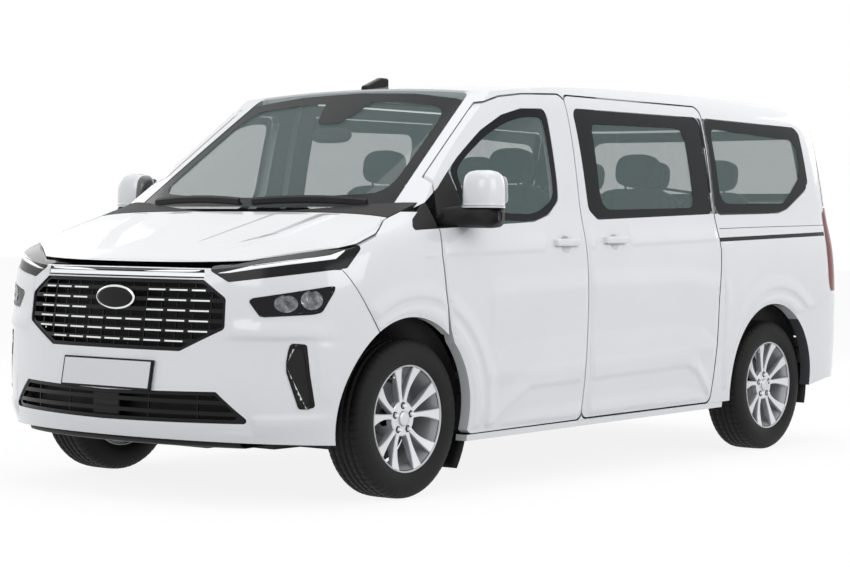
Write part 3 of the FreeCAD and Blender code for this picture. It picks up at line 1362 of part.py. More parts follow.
def write_parts():
    """Check every object of the document, then write each sub-part to a file."""
    doc.recompute()
    for item in doc.Objects:
        if "Invalid" in item.State or "Error" in item.State:
            raise RuntimeError(f"{item.Label} could not be built")
    for name, feature in nodes.items():
        shape = feature.Shape
        if shape.isNull() or not shape.isValid():
            raise RuntimeError(f"{name} has no sound shape")
    for name, feature in nodes.items():
        feature.Shape.exportStep(f"parts/{name}.step")


build_roof()
build_screen()
build_sides()
build_doors()
build_bonnet()
build_front()
build_bumper()
build_grilles()
build_front_lamps()
build_tail()
build_rails()
build_pillar_trims()
build_cowl()
build_mirrors()
build_wheels()
build_knuckles()
build_front_axle()
build_rear_axle()
build_under()
build_exhaust()
build_floor()
build_liners()
build_dashboard()
build_steering_wheel()
build_seats()
build_trim()
write_parts()
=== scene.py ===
import math

import bmesh
import bpy
from mathutils import Matrix, Vector
from mathutils.bvhtree import BVHTree


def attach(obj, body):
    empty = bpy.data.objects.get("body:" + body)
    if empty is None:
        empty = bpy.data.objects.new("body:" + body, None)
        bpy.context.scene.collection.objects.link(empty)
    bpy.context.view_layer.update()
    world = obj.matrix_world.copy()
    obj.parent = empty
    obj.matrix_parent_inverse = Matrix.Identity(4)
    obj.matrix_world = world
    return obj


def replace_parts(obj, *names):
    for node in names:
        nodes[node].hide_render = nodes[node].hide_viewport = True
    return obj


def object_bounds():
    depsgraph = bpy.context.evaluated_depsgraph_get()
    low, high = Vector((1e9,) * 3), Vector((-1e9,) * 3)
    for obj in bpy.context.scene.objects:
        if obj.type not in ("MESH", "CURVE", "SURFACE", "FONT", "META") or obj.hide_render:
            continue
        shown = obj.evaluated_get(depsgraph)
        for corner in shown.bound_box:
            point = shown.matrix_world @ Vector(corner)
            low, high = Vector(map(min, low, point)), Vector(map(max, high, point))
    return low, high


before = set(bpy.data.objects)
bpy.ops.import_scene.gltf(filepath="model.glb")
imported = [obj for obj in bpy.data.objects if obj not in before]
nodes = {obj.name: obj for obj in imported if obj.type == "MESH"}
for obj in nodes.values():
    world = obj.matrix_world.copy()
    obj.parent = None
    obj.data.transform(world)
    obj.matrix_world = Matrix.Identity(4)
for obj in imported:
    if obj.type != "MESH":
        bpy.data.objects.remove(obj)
cad_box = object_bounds()

# Real sizes, in metres
FRONT_X, REAR_X, HUB_Z, TRACK_Y = 1.580, -1.520, 0.345, 0.868
SIDES = (("left", 1), ("right", -1))
WHEELS = [
    ("front_left", FRONT_X, 1, "wheel_fl"), ("front_right", FRONT_X, -1, "wheel_fr"),
    ("rear_left", REAR_X, 1, "wheel_rl"), ("rear_right", REAR_X, -1, "wheel_rr"),
]


# Materials
def new_material(name, **sockets):
    """A material with values on its shader's own sockets, an underscore for each space."""
    material = bpy.data.materials.new(name)
    material.use_nodes = True
    tree = material.node_tree
    shader = next(n for n in tree.nodes if n.type == "BSDF_PRINCIPLED")
    for key, value in sockets.items():
        shader.inputs[key.replace("_", " ")].default_value = value
    return material, tree, shader


def add(tree, kind, **values):
    """A node with some of its properties or inputs set."""
    node = tree.nodes.new(kind)
    for key, value in values.items():
        if hasattr(node, key):
            setattr(node, key, value)
        else:
            node.inputs[key].default_value = value
    return node


def wire(tree, *links):
    """Joins an output of one node to an input of the next, each by its name or number."""
    for start, output, end, socket in links:
        tree.links.new(start.outputs[output], end.inputs[socket])


def grain(tree, shader, scale, strength):
    """Fine relief from a noise in the object's own space."""
    place = add(tree, "ShaderNodeTexCoord")
    noise = add(tree, "ShaderNodeTexNoise", Scale=scale, Detail=3.0)
    bump = add(tree, "ShaderNodeBump", Strength=strength, Distance=0.001)
    wire(tree, (place, "Object", noise, "Vector"), (noise, "Fac", bump, "Height"),
         (bump, "Normal", shader, "Normal"))
    return place


def varied(tree, shader, place, colour, amount, scale):
    """A colour that drifts a little over the surface."""
    noise = add(tree, "ShaderNodeTexNoise", Scale=scale, Detail=4.0)
    ramp = add(tree, "ShaderNodeValToRGB")
    dark = [c * (1 - amount) for c in colour]
    light = [min(1, c * (1 + amount)) for c in colour]
    for stop, shade, position in zip(ramp.color_ramp.elements, (dark, light), (0.3, 0.7)):
        stop.color, stop.position = (*shade, 1), position
    wire(tree, (place, "Object", noise, "Vector"), (noise, "Fac", ramp, "Fac"),
         (ramp, "Color", shader, "Base Color"))
    return ramp


def finish_of(name, colour, roughness, metallic=0.0, relief=(400, 0.05), vary=0.06, vary_scale=6.0,
              **sockets):
    """A material with its own grain and a slight drift of colour."""
    material, tree, shader = new_material(name, Roughness=roughness, Metallic=metallic, **sockets)
    place = grain(tree, shader, *relief)
    varied(tree, shader, place, colour, vary, vary_scale)
    return material


# A face looks inwards where its normal points to the cabin's middle line
CABIN_MIDDLE_Z, CABIN_LENGTH_SHARE, INWARD_BELOW = 0.95, 0.30, -0.12


def paint_of(name, colour, inner):
    """Gloss paint outside, and a plain trim colour on faces that look inwards."""
    material, tree, shader = new_material(name, Roughness=0.32, Coat_Weight=1.0, Coat_Roughness=0.04)
    place = grain(tree, shader, 900, 0.02)
    ramp = varied(tree, shader, place, colour, 0.012, 3.0)
    middle = add(tree, "ShaderNodeVectorMath", operation="SUBTRACT")
    middle.inputs[1].default_value = (0, 0, CABIN_MIDDLE_Z)
    flat = add(tree, "ShaderNodeVectorMath", operation="MULTIPLY")
    flat.inputs[1].default_value = (CABIN_LENGTH_SHARE, 1, 1)
    dot = add(tree, "ShaderNodeVectorMath", operation="DOT_PRODUCT")
    inward = add(tree, "ShaderNodeMath", operation="LESS_THAN")
    inward.inputs[1].default_value = INWARD_BELOW
    mix = add(tree, "ShaderNodeMix", data_type="RGBA")
    mix.inputs["B"].default_value = (*inner, 1)
    wire(tree, (place, "Object", middle, 0), (middle, 0, flat, 0), (flat, 0, dot, 0),
         (place, "Normal", dot, 1), (dot, "Value", inward, 0), (inward, 0, mix, "Factor"),
         (ramp, "Color", mix, "A"), (mix, "Result", shader, "Base Color"))
    return material


def cloth_of(name, colour):
    """Woven cloth: crossed threads as relief, with soft sheen."""
    material, tree, shader = new_material(name, Roughness=0.92, Sheen_Weight=0.25, Sheen_Roughness=0.5)
    place = add(tree, "ShaderNodeTexCoord")
    both = add(tree, "ShaderNodeMath", operation="MULTIPLY")
    bump = add(tree, "ShaderNodeBump", Strength=0.35, Distance=0.0015)
    for index, axis in enumerate("XZ"):
        wave = add(tree, "ShaderNodeTexWave", bands_direction=axis, Scale=150, Distortion=1.5)
        wire(tree, (place, "Object", wave, "Vector"), (wave, "Fac", both, index))
    wire(tree, (both, 0, bump, "Height"), (bump, "Normal", shader, "Normal"))
    varied(tree, shader, place, colour, 0.25, 60.0)
    return material


def glass_of(name, colour, alpha):
    """Tinted glass that shows the cabin, with a high index for its bright reflections."""
    material, tree, shader = new_material(name, Roughness=0.02, IOR=2.4, Alpha=alpha)
    place = grain(tree, shader, 4, 0.01)
    varied(tree, shader, place, colour, 0.08, 2.0)
    return material


white_paint = paint_of("cool_white_paint", (0.85, 0.865, 0.885), (0.10, 0.105, 0.11))
tinted = glass_of("tinted_glass", (0.028, 0.125, 0.116), 0.29)
ceramic = finish_of("black_glass_border", (0.011, 0.013, 0.014), 0.12, relief=(200, 0.01),
                    Specular_IOR_Level=0.12)
gloss_black = finish_of("gloss_black", (0.009, 0.009, 0.010), 0.16, relief=(500, 0.02),
                        Specular_IOR_Level=0.18)
matt_black = finish_of("matt_black_plastic", (0.013, 0.013, 0.014), 0.5, relief=(900, 0.25), vary=0.2,
                       Specular_IOR_Level=0.22)
rubber = finish_of("tyre_rubber", (0.009, 0.009, 0.0095), 0.66, relief=(700, 0.25), vary=0.25,
                   vary_scale=14, Specular_IOR_Level=0.25)
alloy = finish_of("silver_alloy", (0.80, 0.81, 0.83), 0.34, 0.45, relief=(1400, 0.05), vary=0.04,
                  Coat_Weight=0.4)
dark_steel = finish_of("brake_steel", (0.18, 0.18, 0.19), 0.38, 0.9, relief=(300, 0.12), vary=0.2)
cast = finish_of("cast_metal", (0.05, 0.05, 0.052), 0.7, 0.4, relief=(160, 0.4), vary=0.3)
chrome = finish_of("bright_trim", (0.82, 0.83, 0.85), 0.12, 1.0, relief=(600, 0.02), vary=0.03)
satin = finish_of("satin_trim", (0.72, 0.73, 0.75), 0.30, 0.6, relief=(900, 0.04), vary=0.03)
light_guide = finish_of("light_guide", (0.90, 0.92, 0.95), 0.22, relief=(300, 0.03), vary=0.02,
                        Emission_Strength=0.25)
red_lamp = finish_of("red_lamp_cover", (0.20, 0.003, 0.004), 0.12, relief=(120, 0.10), vary=0.3,
                     vary_scale=30, Specular_IOR_Level=0.2)
white_plate = finish_of("blank_plate", (0.80, 0.81, 0.83), 0.35, relief=(300, 0.02), vary=0.01)
cloth = cloth_of("dark_seat_cloth", (0.030, 0.032, 0.034))
underside = finish_of("coated_underside", (0.025, 0.025, 0.027), 0.8, relief=(90, 0.5), vary=0.3)
dash_skin = finish_of("dashboard_skin", (0.030, 0.031, 0.033), 0.65, relief=(500, 0.4), vary=0.15)
bare_steel = finish_of("exhaust_steel", (0.32, 0.31, 0.29), 0.45, 0.9, relief=(120, 0.2), vary=0.3)
bright_bowl = finish_of("lamp_reflector", (0.17, 0.175, 0.185), 0.10, 1.0, relief=(300, 0.03), vary=0.55,
                        vary_scale=45)
clear_trim = finish_of("clear_repeater", (0.62, 0.64, 0.66), 0.15, relief=(300, 0.08), vary=0.08,
                       Coat_Weight=1.0)
alloy_side = finish_of("painted_alloy", (0.56, 0.565, 0.58), 0.38, 0.4, relief=(1400, 0.05), vary=0.05)

# The look of each CAD node, by the longest start of its name that is listed
LOOKS = {
    white_paint: ("roof", "bonnet", "tailgate", "front_bumper", "rear_bumper", "body_side", "front_door_left",
                  "front_door_right", "sliding_door", "front_wing", "sill_mouldings"),
    tinted: ("windscreen", "tailgate_glass", "front_door_glass", "side_glass"),
    gloss_black: ("headlamp", "fog_lamps", "grille", "lower_grille", "antenna", "slide_rails"),
    matt_black: ("air_slots", "cowl", "pillar_trims", "wheel_liners", "wipers", "mirror"),
    light_guide: ("light_bar",), red_lamp: ("tail_lamps",), white_plate: ("front_plate",),
    dash_skin: ("dashboard", "steering_wheel"), underside: ("floor", "fuel_tank"),
    cloth: ("driver_seat", "passenger_seat", "middle_seats", "rear_seats"),
    cast: ("engine_block", "front_axle", "rear_axle", "knuckle"), bare_steel: ("exhaust",),
    rubber: ("tyre",), alloy: ("wheel_front", "wheel_rear"),
}
for name, piece in nodes.items():
    looks = [(len(start), look) for look, starts in LOOKS.items() for start in starts
             if name.startswith(start)]
    piece.data.materials.clear()
    piece.data.materials.append(max(looks, key=lambda pair: pair[0])[1])


def link_new(name, data, body=None):
    """A new object in the scene, and the body that it rides on."""
    made = bpy.data.objects.new(name, data)
    bpy.context.scene.collection.objects.link(made)
    if body:
        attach(made, body)
    return made


def mesh_of(name, points, faces, looks, smooth=True):
    mesh = bpy.data.meshes.new(name)
    mesh.from_pydata([tuple(p) for p in points], [], faces)
    mesh.validate()
    for look in looks:
        mesh.materials.append(look)
    for polygon in mesh.polygons:
        polygon.use_smooth = smooth
    return mesh


def built_mesh(name, build, look):
    """A mesh from a bmesh, which is freed."""
    mesh = bpy.data.meshes.new(name)
    build.to_mesh(mesh)
    build.free()
    mesh.materials.clear()
    mesh.materials.append(look)
    return mesh


def piece_from(name, points, faces, look, body="body", smooth=True):
    return link_new(name, mesh_of(name, points, faces, [look], smooth), body)


def solidify(made, thickness, offset=1.0):
    change = made.modifiers.new("thickness", "SOLIDIFY")
    change.thickness, change.offset = thickness, offset
    return made


def grid_faces(rows, columns, closed_rows=False, closed_columns=False):
    faces = []
    for row in range(rows if closed_rows else rows - 1):
        here, above = row * columns, (row + 1) % rows * columns
        for column in range(columns if closed_columns else columns - 1):
            beside = (column + 1) % columns
            faces.append((here + column, here + beside, above + beside, above + column))
    return faces


def fan_faces(rows, count):
    """Closed rows that end in one middle point, the last of the points."""
    last, middle = (rows - 1) * count, rows * count
    fan = [(last + i, last + (i + 1) % count, middle) for i in range(count)]
    return grid_faces(rows, count, closed_columns=True) + fan


def cells_of(places):
    """The corners of each square of a grid whose four corners are all there."""
    for row, column in places:
        corners = [(row, column), (row, column + 1), (row + 1, column + 1), (row + 1, column)]
        if all(key in places for key in corners):
            yield corners


def tree_of(*names):
    """A search tree over the faces of some CAD nodes."""
    points, faces = [], []
    for name in names:
        mesh = nodes[name].data
        start = len(points)
        points += [v.co.copy() for v in mesh.vertices]
        faces += [[start + i for i in p.vertices] for p in mesh.polygons]
    return BVHTree.FromPolygons(points, faces)


def turned(angle, across, out):
    """A place on a wheel from its angle about the axle, across the radius and along it."""
    return across * math.cos(angle) + out * math.sin(angle), -across * math.sin(angle) + out * math.cos(angle)


def rounded(points, radius, steps=6):
    """A closed outline with its corners rounded."""
    out, count = [], len(points)
    for index in range(count):
        here, before, after = (Vector(points[i % count]) for i in (index, index - 1, index + 1))
        a, b = before - here, after - here
        start = here + a.normalized() * min(radius, a.length * 0.45)
        end = here + b.normalized() * min(radius, b.length * 0.45)
        for step in range(steps + 1):
            t = step / steps
            out.append(start * (1 - t) ** 2 + here * 2 * t * (1 - t) + end * t * t)
    return out


def around(points, centre, count):
    """Points of a closed outline met by even rays from its middle."""
    found = []
    for index in range(count):
        angle = 2 * math.pi * index / count
        ray = Vector((math.cos(angle), math.sin(angle)))
        best = 0
        for a, b in zip(points, points[1:] + points[:1]):
            edge, start = b - a, a - centre
            cross = ray.x * edge.y - ray.y * edge.x
            if abs(cross) < 1e-12:
                continue
            along = (start.x * edge.y - start.y * edge.x) / cross
            share = (start.x * ray.y - start.y * ray.x) / cross
            if along > best and -1e-9 <= share <= 1 + 1e-9:
                best = along
        found.append(centre + ray * best)
    return found


# Views: where a ray for a point of an outline starts, and its direction
CORNER_ANGLE = math.radians(42)


def side_view(p, side):
    return Vector((p.x, side * 2, p.y)), Vector((0, -side, 0))


def front_view(p, side=1):
    return Vector((4, p.x, p.y)), Vector((-1, 0, 0))


def rear_view(p, side=1):
    return Vector((-4, p.x, p.y)), Vector((1, 0, 0))


def top_view(p, side=1):
    return Vector((p.x, p.y, 3)), Vector((0, 0, -1))


def corner_view(p, side):
    """Looks at the front corner along a level line off the axis."""
    ahead = Vector((math.cos(CORNER_ANGLE), side * math.sin(CORNER_ANGLE), 0))
    across = Vector((-ahead.y * side, ahead.x * side, 0))
    origin = Vector((FRONT_X, 0, 0)) + across * p.x + Vector((0, 0, p.y))
    return origin + ahead * 3, -ahead


def drop(on, points, lift):
    """Outline points laid on a surface, a little proud of it. on is its tree, the view and the side."""
    search, view, side = on
    laid, last = [], None
    for p in points:
        origin, direction = view(p, side)
        place = search.ray_cast(origin, direction)[0]
        if place is None:
            place = search.find_nearest(last if last is not None else origin + direction * 2)[0]
        last = place
        laid.append(place - direction * lift)
    return laid


def ring(name, outer, inner, on, look, body="body", corner=(0.05, 0.05), lift=0.0012, rows=4, count=120):
    """A flat band between two outlines, laid on a surface."""
    outer, inner = rounded(outer, corner[0]), rounded(inner, corner[1])
    centre = sum(inner, Vector((0, 0))) / len(inner)
    a, b = around(outer, centre, count), around(inner, centre, count)
    points = []
    for row in range(rows):
        share = row / (rows - 1)
        points += drop(on, [p.lerp(q, share) for p, q in zip(a, b)], lift)
    return piece_from(name, points, grid_faces(rows, count, closed_columns=True), look, body)


def patch(name, outline, on, look, body="body", corner=0.01, lift=0.0015, rows=5, count=64):
    """A filled outline laid on a surface."""
    outline = rounded(outline, corner)
    centre = sum(outline, Vector((0, 0))) / len(outline)
    edge = around(outline, centre, count)
    points = []
    for row in range(rows):
        points += drop(on, [p.lerp(centre, row / rows) for p in edge], lift)
    points += drop(on, [centre], lift)
    return piece_from(name, points, fan_faces(rows, count), look, body)


def dense_line(line, steps):
    """A line with steps points in each of its runs."""
    points = [Vector(p) for p in line]
    return [a.lerp(b, s / steps) for a, b in zip(points, points[1:]) for s in range(steps)] + [points[-1]]


def strip(name, line, width, on, look, body="body", lift=0.0015, thick=0.002, steps=6):
    """A narrow band along a line, laid on a surface."""
    dense = dense_line(line, steps)
    low, high = [], []
    for index, p in enumerate(dense):
        along = dense[min(index + 1, len(dense) - 1)] - dense[max(index - 1, 0)]
        normal = Vector((-along.y, along.x)).normalized() * width / 2
        low.append(p - normal)
        high.append(p + normal)
    points = drop(on, low, lift) + drop(on, high, lift)
    return solidify(piece_from(name, points, grid_faces(2, len(dense)), look, body), thick, 0)


def band(name, low, high, on, look, body="body", lift=0.0015, thick=0.001, steps=6, rows=4):
    """A band between two edges with matching points, laid on a surface."""
    points = []
    for row in range(rows):
        share = row / (rows - 1)
        line = [Vector(a).lerp(Vector(b), share) for a, b in zip(low, high)]
        points += drop(on, dense_line(line, steps), lift)
    return solidify(piece_from(name, points, grid_faces(rows, len(points) // rows), look, body), thick, 0)


def at_side(pairs):
    """Side view points from distances behind the front axle and heights, in millimetres."""
    return [Vector((FRONT_X + x / 1000, z / 1000)) for x, z in pairs]


# Window borders: distance behind the front axle and height, in millimetres. The seam of the
# sliding door leans, and the two borders beside it stop short of it.
SEAM_TOP, SEAM_FOOT = -2539.0, -2515.0
SLIDE_OUTER = [(-1352, 1743), (SEAM_TOP + 16, 1752), (SEAM_TOP + 2.5, 1752), (SEAM_TOP + 3, 1740),
               (SEAM_FOOT + 2, 1270), (SEAM_FOOT + 2.5, 1258), (SEAM_FOOT + 16, 1258), (-1425, 1218),
               (-1365, 1262)]
SLIDE_CLEAR = [(-1484, 1676), (-2289, 1690), (-2332, 1640), (-2329, 1300), (-2290, 1284), (-1521, 1263),
               (-1478, 1310)]
QUARTER_OUTER = [(SEAM_TOP - 2, 1740), (SEAM_TOP - 2.5, 1752), (SEAM_TOP - 16, 1752), (-3503, 1745),
                 (-3552, 1718), (-3560, 1448), (-3516, 1398), (-3288, 1294), (-3186, 1271),
                 (SEAM_FOOT - 16, 1258), (SEAM_FOOT - 2.5, 1258), (SEAM_FOOT - 3, 1270)]
QUARTER_CLEAR = [(-2599, 1700), (-3439, 1676), (-3500, 1630), (-3490, 1485), (-3265, 1321), (-2648, 1311),
                 (-2600, 1351)]
DOOR_OUTER = [(-402, 1208), (-402, 1430), (-484, 1484), (-679, 1613), (-831, 1689), (-964, 1725),
              (-1117, 1731), (-1136, 1693), (-1127, 1376), (-1118, 1301), (-1022, 1234), (-898, 1202)]
DOOR_CLEAR = [(-436, 1240), (-436, 1420), (-520, 1480), (-700, 1590), (-850, 1658), (-970, 1688),
              (-1084, 1692), (-1098, 1664), (-1092, 1380), (-1082, 1316), (-1000, 1262), (-890, 1234)]
for name, side in SIDES:
    panes = tree_of(f"side_glass_{name}", f"sliding_door_{name}", f"body_side_{name}"), side_view, side
    for kind, outer, clear in (("slide", SLIDE_OUTER, SLIDE_CLEAR),
                               ("quarter", QUARTER_OUTER, QUARTER_CLEAR)):
        ring(f"{kind}_border_{name}", at_side(outer), at_side(clear), panes, ceramic, rows=22, count=280)
    pane = tree_of(f"front_door_glass_{name}", f"front_door_{name}"), side_view, side
    ring(f"door_border_{name}", at_side(DOOR_OUTER), at_side(DOOR_CLEAR), pane, ceramic, f"door_{name[0]}")

screen = tree_of("windscreen"), front_view, 1
SCREEN_OUTER = [(-0.772, 1.254), (0.772, 1.254), (0.652, 1.764), (0.35, 1.800), (0.0, 1.812), (-0.35, 1.800),
                (-0.652, 1.764)]
SCREEN_CLEAR = [(-0.700, 1.318), (-0.35, 1.300), (0.0, 1.294), (0.35, 1.300), (0.700, 1.318), (0.610, 1.728),
                (0.30, 1.756), (0.0, 1.765), (-0.30, 1.756), (-0.610, 1.728)]
CAMERA_COVER = [(-0.16, 1.775), (0.16, 1.775), (0.07, 1.655), (-0.07, 1.655)]
ring("screen_border", SCREEN_OUTER, SCREEN_CLEAR, screen, ceramic, corner=(0.02, 0.09), rows=6,
     count=200)
patch("screen_camera_cover", CAMERA_COVER, screen, ceramic, corner=0.03)


# Tyres with grooves and blocks, revolved about their axle: radius and distance from the middle
TREAD_PITCHES, TREAD_STEPS = 62, 6
TYRE_PROFILE = [
    (0.2205, 0.0860), (0.2340, 0.0935), (0.2480, 0.1020), (0.2660, 0.1068), (0.2850, 0.1072),
    (0.3020, 0.1050), (0.3140, 0.1010), (0.3240, 0.0970), (0.3310, 0.0925), (0.3375, 0.0850),
    (0.3420, 0.0760), (0.3438, 0.0640), (0.3444, 0.0545), (0.3446, 0.0525), (0.3446, 0.0445),
    (0.3448, 0.0425), (0.3450, 0.0220), (0.3450, 0.0200), (0.3450, 0.0080), (0.3450, 0.0060),
    (0.3450, 0.0),
]
GROOVES, GROOVE_DEPTH = ((0.0445, 0.0525), (0.0080, 0.0200)), 0.0075
# Slots across the tread: step of the pitch, depth, and where they start in radius and across
SHOULDER_SLOT, RIB_SLOT = (0, 0.004, 0.322, 0.053), (1, 0.0030, 0.344, 0.021)
SLOT_SWEEP = 0.35


def tyre_mesh():
    profile = TYRE_PROFILE + [(r, -y) for r, y in reversed(TYRE_PROFILE[:-1])]
    count = TREAD_PITCHES * TREAD_STEPS
    points = []
    for step in range(count):
        angle = 2 * math.pi * step / count
        for radius, y in profile:
            phase = (step - (0 if y > 0 else TREAD_STEPS // 2)) % TREAD_STEPS
            r = radius
            if any(low - 1e-4 <= abs(y) <= high + 1e-4 for low, high in GROOVES):
                r -= GROOVE_DEPTH
            else:
                for at, depth, start, inside in (SHOULDER_SLOT, RIB_SLOT):
                    if phase == at and radius > start and abs(y) > inside:
                        r -= depth
            turn = angle + (abs(y) * SLOT_SWEEP)
            points.append((r * math.sin(turn), y, r * math.cos(turn)))
    return mesh_of("tyre_tread", points, grid_faces(count, len(profile), closed_rows=True), [rubber])


def wheel_part(name, mesh, x, side, body):
    made = link_new(name, mesh, body)
    made.location = (x, side * TRACK_Y, HUB_Z)
    if side < 0:
        made.rotation_euler = (0, 0, math.pi)
    return made


def lathe(name, profile, look, count=96, smooth=True):
    """A closed ring about the axle from a profile of radius and distance outboard."""
    points = []
    for step in range(count):
        angle = 2 * math.pi * step / count
        points += [(r * math.sin(angle), y, r * math.cos(angle)) for r, y in profile]
    return mesh_of(name, points, grid_faces(count, len(profile), closed_rows=True), [look], smooth)


NUTS, NUT_CIRCLE, NUT_FACE, NUT_DOME = 5, 0.056, 0.0715, 0.0095
VALVE_TURN, VALVE_PLACE = 0.45, (0, 0.072, 0.196)


def nuts_mesh():
    """Wheel nuts with their domes, and the valve."""
    build = bmesh.new()
    lay = Matrix.Rotation(math.radians(-90), 4, "X")
    for index in range(NUTS):
        turn = Matrix.Rotation(2 * math.pi * index / NUTS, 4, "Y")
        turn = turn @ Matrix.Translation((0, NUT_FACE, NUT_CIRCLE))
        bmesh.ops.create_cone(build, cap_ends=True, segments=6, radius1=0.0115, radius2=0.0100, depth=0.014,
                              matrix=turn @ lay)
        bmesh.ops.create_cone(build, cap_ends=True, segments=20, radius1=0.0085, radius2=0.0055, depth=0.005,
                              matrix=turn @ Matrix.Translation((0, NUT_DOME, 0)) @ lay)
    tilt = Matrix.Rotation(math.radians(-70), 4, "X")
    valve = Matrix.Rotation(VALVE_TURN, 4, "Y") @ Matrix.Translation(VALVE_PLACE) @ tilt
    bmesh.ops.create_cone(build, cap_ends=True, segments=12, radius1=0.004, radius2=0.0035, depth=0.026,
                          matrix=valve)
    return built_mesh("wheel_nuts", build, chrome)


# Radius, distance outboard: a ring of painted shade round a nut, for the shadow in its bore, about the nut's
# own middle
NUT_SHADE_RING = ((0.0110, 0.0664), (0.0150, 0.0668), (0.0158, 0.0656))


def nut_shade_rings_mesh():
    """Dark rings of painted shade round the wheel nuts, for the shadow in their bores."""
    points, faces, count = [], [], 24
    for index in range(NUTS):
        angle = 2 * math.pi * index / NUTS
        start = len(points)
        for step in range(count):
            turn = 2 * math.pi * step / count
            for radius, y in NUT_SHADE_RING:
                x, z = turned(angle, radius * math.cos(turn), NUT_CIRCLE + radius * math.sin(turn))
                points.append((x, y, z))
        faces += [tuple(start + i for i in face) for face in grid_faces(count, 3, closed_rows=True)]
    return mesh_of("nut_shade_rings", points, faces, [gloss_black], False)


# One spoke from the hub out: radius, half width, face distance outboard, depth
SPOKE_STATIONS = [
    (0.040, 0.0150, 0.0640, 0.030), (0.062, 0.0145, 0.0650, 0.032), (0.085, 0.0120, 0.0655, 0.034),
    (0.110, 0.0115, 0.0670, 0.034), (0.135, 0.0130, 0.0700, 0.032), (0.160, 0.0160, 0.0745, 0.030),
    (0.185, 0.0200, 0.0800, 0.026), (0.205, 0.0240, 0.0850, 0.022), (0.2235, 0.0285, 0.0895, 0.014),
]
# Its section: share of the half width, and of the depth. The run after SPOKE_FACE is the bright face.
SPOKE_SECTION = [(-0.80, 1.0), (-1.0, 0.45), (-0.97, 0.10), (-0.80, 0.0), (0.80, 0.0), (0.97, 0.10),
                 (1.0, 0.45), (0.80, 1.0)]
SPOKE_FACE = 3
SPOKE_PAIRS, SPOKE_SPREAD, SPOKE_SWAY, SPOKE_END = 5, math.radians(16.6), 0.010, 0.2235


def spokes_mesh():
    """Ten spokes in five pairs, slim at the middle and wide at the rim."""
    points, faces, bright = [], [], []
    columns = len(SPOKE_SECTION)
    for index in range(SPOKE_PAIRS * 2):
        side = 1 if index % 2 else -1
        angle = 2 * math.pi * (index // 2) / SPOKE_PAIRS + side * SPOKE_SPREAD
        start = len(points)
        for radius, half, face, depth in SPOKE_STATIONS:
            sway = -side * SPOKE_SWAY * math.sin(math.pi * min(1, radius / SPOKE_END))
            for across, depth_share in SPOKE_SECTION:
                u = across * half + sway
                out = math.sqrt(max(radius * radius - u * u * 0.5, 1e-6))
                x, z = turned(angle, u, out)
                points.append((x, face - depth * depth_share, z))
        for row in range(len(SPOKE_STATIONS) - 1):
            for column in range(columns):
                a, b = start + row * columns + column, start + row * columns + (column + 1) % columns
                faces.append((a, a + columns, b + columns, b))
                bright.append(column == SPOKE_FACE)
        faces.append(tuple(start + c for c in range(columns)))
        last = start + (len(SPOKE_STATIONS) - 1) * columns
        faces.append(tuple(last + c for c in reversed(range(columns))))
        bright += [False, False]
    mesh = mesh_of("spokes", points, faces, [alloy_side, alloy], False)
    for polygon, top in zip(mesh.polygons, bright):
        polygon.material_index = int(top)
    return mesh


# Profiles about the axle: radius and distance outboard
HUB_PROFILE = [(0.0330, 0.0690), (0.0345, 0.0660), (0.0420, 0.0655), (0.0720, 0.0650), (0.0760, 0.0620),
               (0.0765, 0.0350), (0.0740, 0.0320), (0.0330, 0.0320)]
BARREL_PROFILE = [
    (0.2325, 0.0890), (0.2322, 0.0930), (0.2300, 0.0948), (0.2262, 0.0940), (0.2240, 0.0905),
    (0.2215, 0.0780), (0.2120, 0.0600), (0.2080, 0.0300), (0.2060, -0.0300), (0.2110, -0.0700),
    (0.2190, -0.0840), (0.2230, -0.0930), (0.2320, -0.0900), (0.2190, -0.0780), (0.2140, -0.0300),
    (0.2150, 0.0300), (0.2190, 0.0640), (0.2260, 0.0840),
]
DISC_PROFILE = [(0.0400, -0.0400), (0.0780, -0.0400), (0.0800, -0.0450), (0.1530, -0.0450), (0.1540, -0.0460),
                (0.1540, -0.0650), (0.1530, -0.0660), (0.0400, -0.0660)]
CAP_PROFILE = [(0.0001, 0.0795), (0.018, 0.0792), (0.027, 0.0778), (0.0315, 0.0755), (0.0328, 0.0690),
               (0.0001, 0.0690)]
SHIELD_PROFILE = [(0.0300, -0.0760), (0.1900, -0.0800), (0.1970, -0.0760), (0.1970, -0.0740),
                  (0.1900, -0.0780), (0.0300, -0.0740)]
tread, barrel = tyre_mesh(), lathe("barrel", BARREL_PROFILE, alloy_side, 128)
WHEEL_MESHES = {
    "spokes": spokes_mesh(),
    "hub": lathe("hub", HUB_PROFILE, alloy, smooth=False),
    "disc": lathe("disc", DISC_PROFILE, dark_steel, smooth=False),
    "cap": lathe("hub_cap", CAP_PROFILE, satin, 64),
    "nuts": nuts_mesh(),
    # painted shade: dark rings round the nuts
    "nut_shade_rings": nut_shade_rings_mesh(),
}
for name, x, side, body in WHEELS:
    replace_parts(wheel_part(f"tread_{name}", tread, x, side, body), f"tyre_{name}")
    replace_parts(wheel_part(f"barrel_{name}", barrel, x, side, body), f"wheel_{name}")
    for kind, mesh in WHEEL_MESHES.items():
        wheel_part(f"{kind}_{name}", mesh, x, side, body)

# Liner skirts: angle below and above the axle at the arch's rear foot, radius and places across
SKIRT_ARCS = {"front": (-34, 12), "rear": (-16, 14)}
SKIRT_RADIUS, SKIRT_ACROSS = 0.428, (0.62, 0.70, 0.80, 0.90, 0.955)


def skirt(name, x, side, start, end):
    """A strip of liner that closes the arch behind the tyre."""
    points, rows = [], 13
    for row in range(rows):
        angle = math.radians(start + (end - start) * row / (rows - 1))
        back, rise = SKIRT_RADIUS * math.cos(angle), SKIRT_RADIUS * math.sin(angle)
        points += [(x - back, side * y, HUB_Z + rise) for y in SKIRT_ACROSS]
    solidify(piece_from(name, points, grid_faces(rows, len(SKIRT_ACROSS)), matt_black), 0.003, 0)


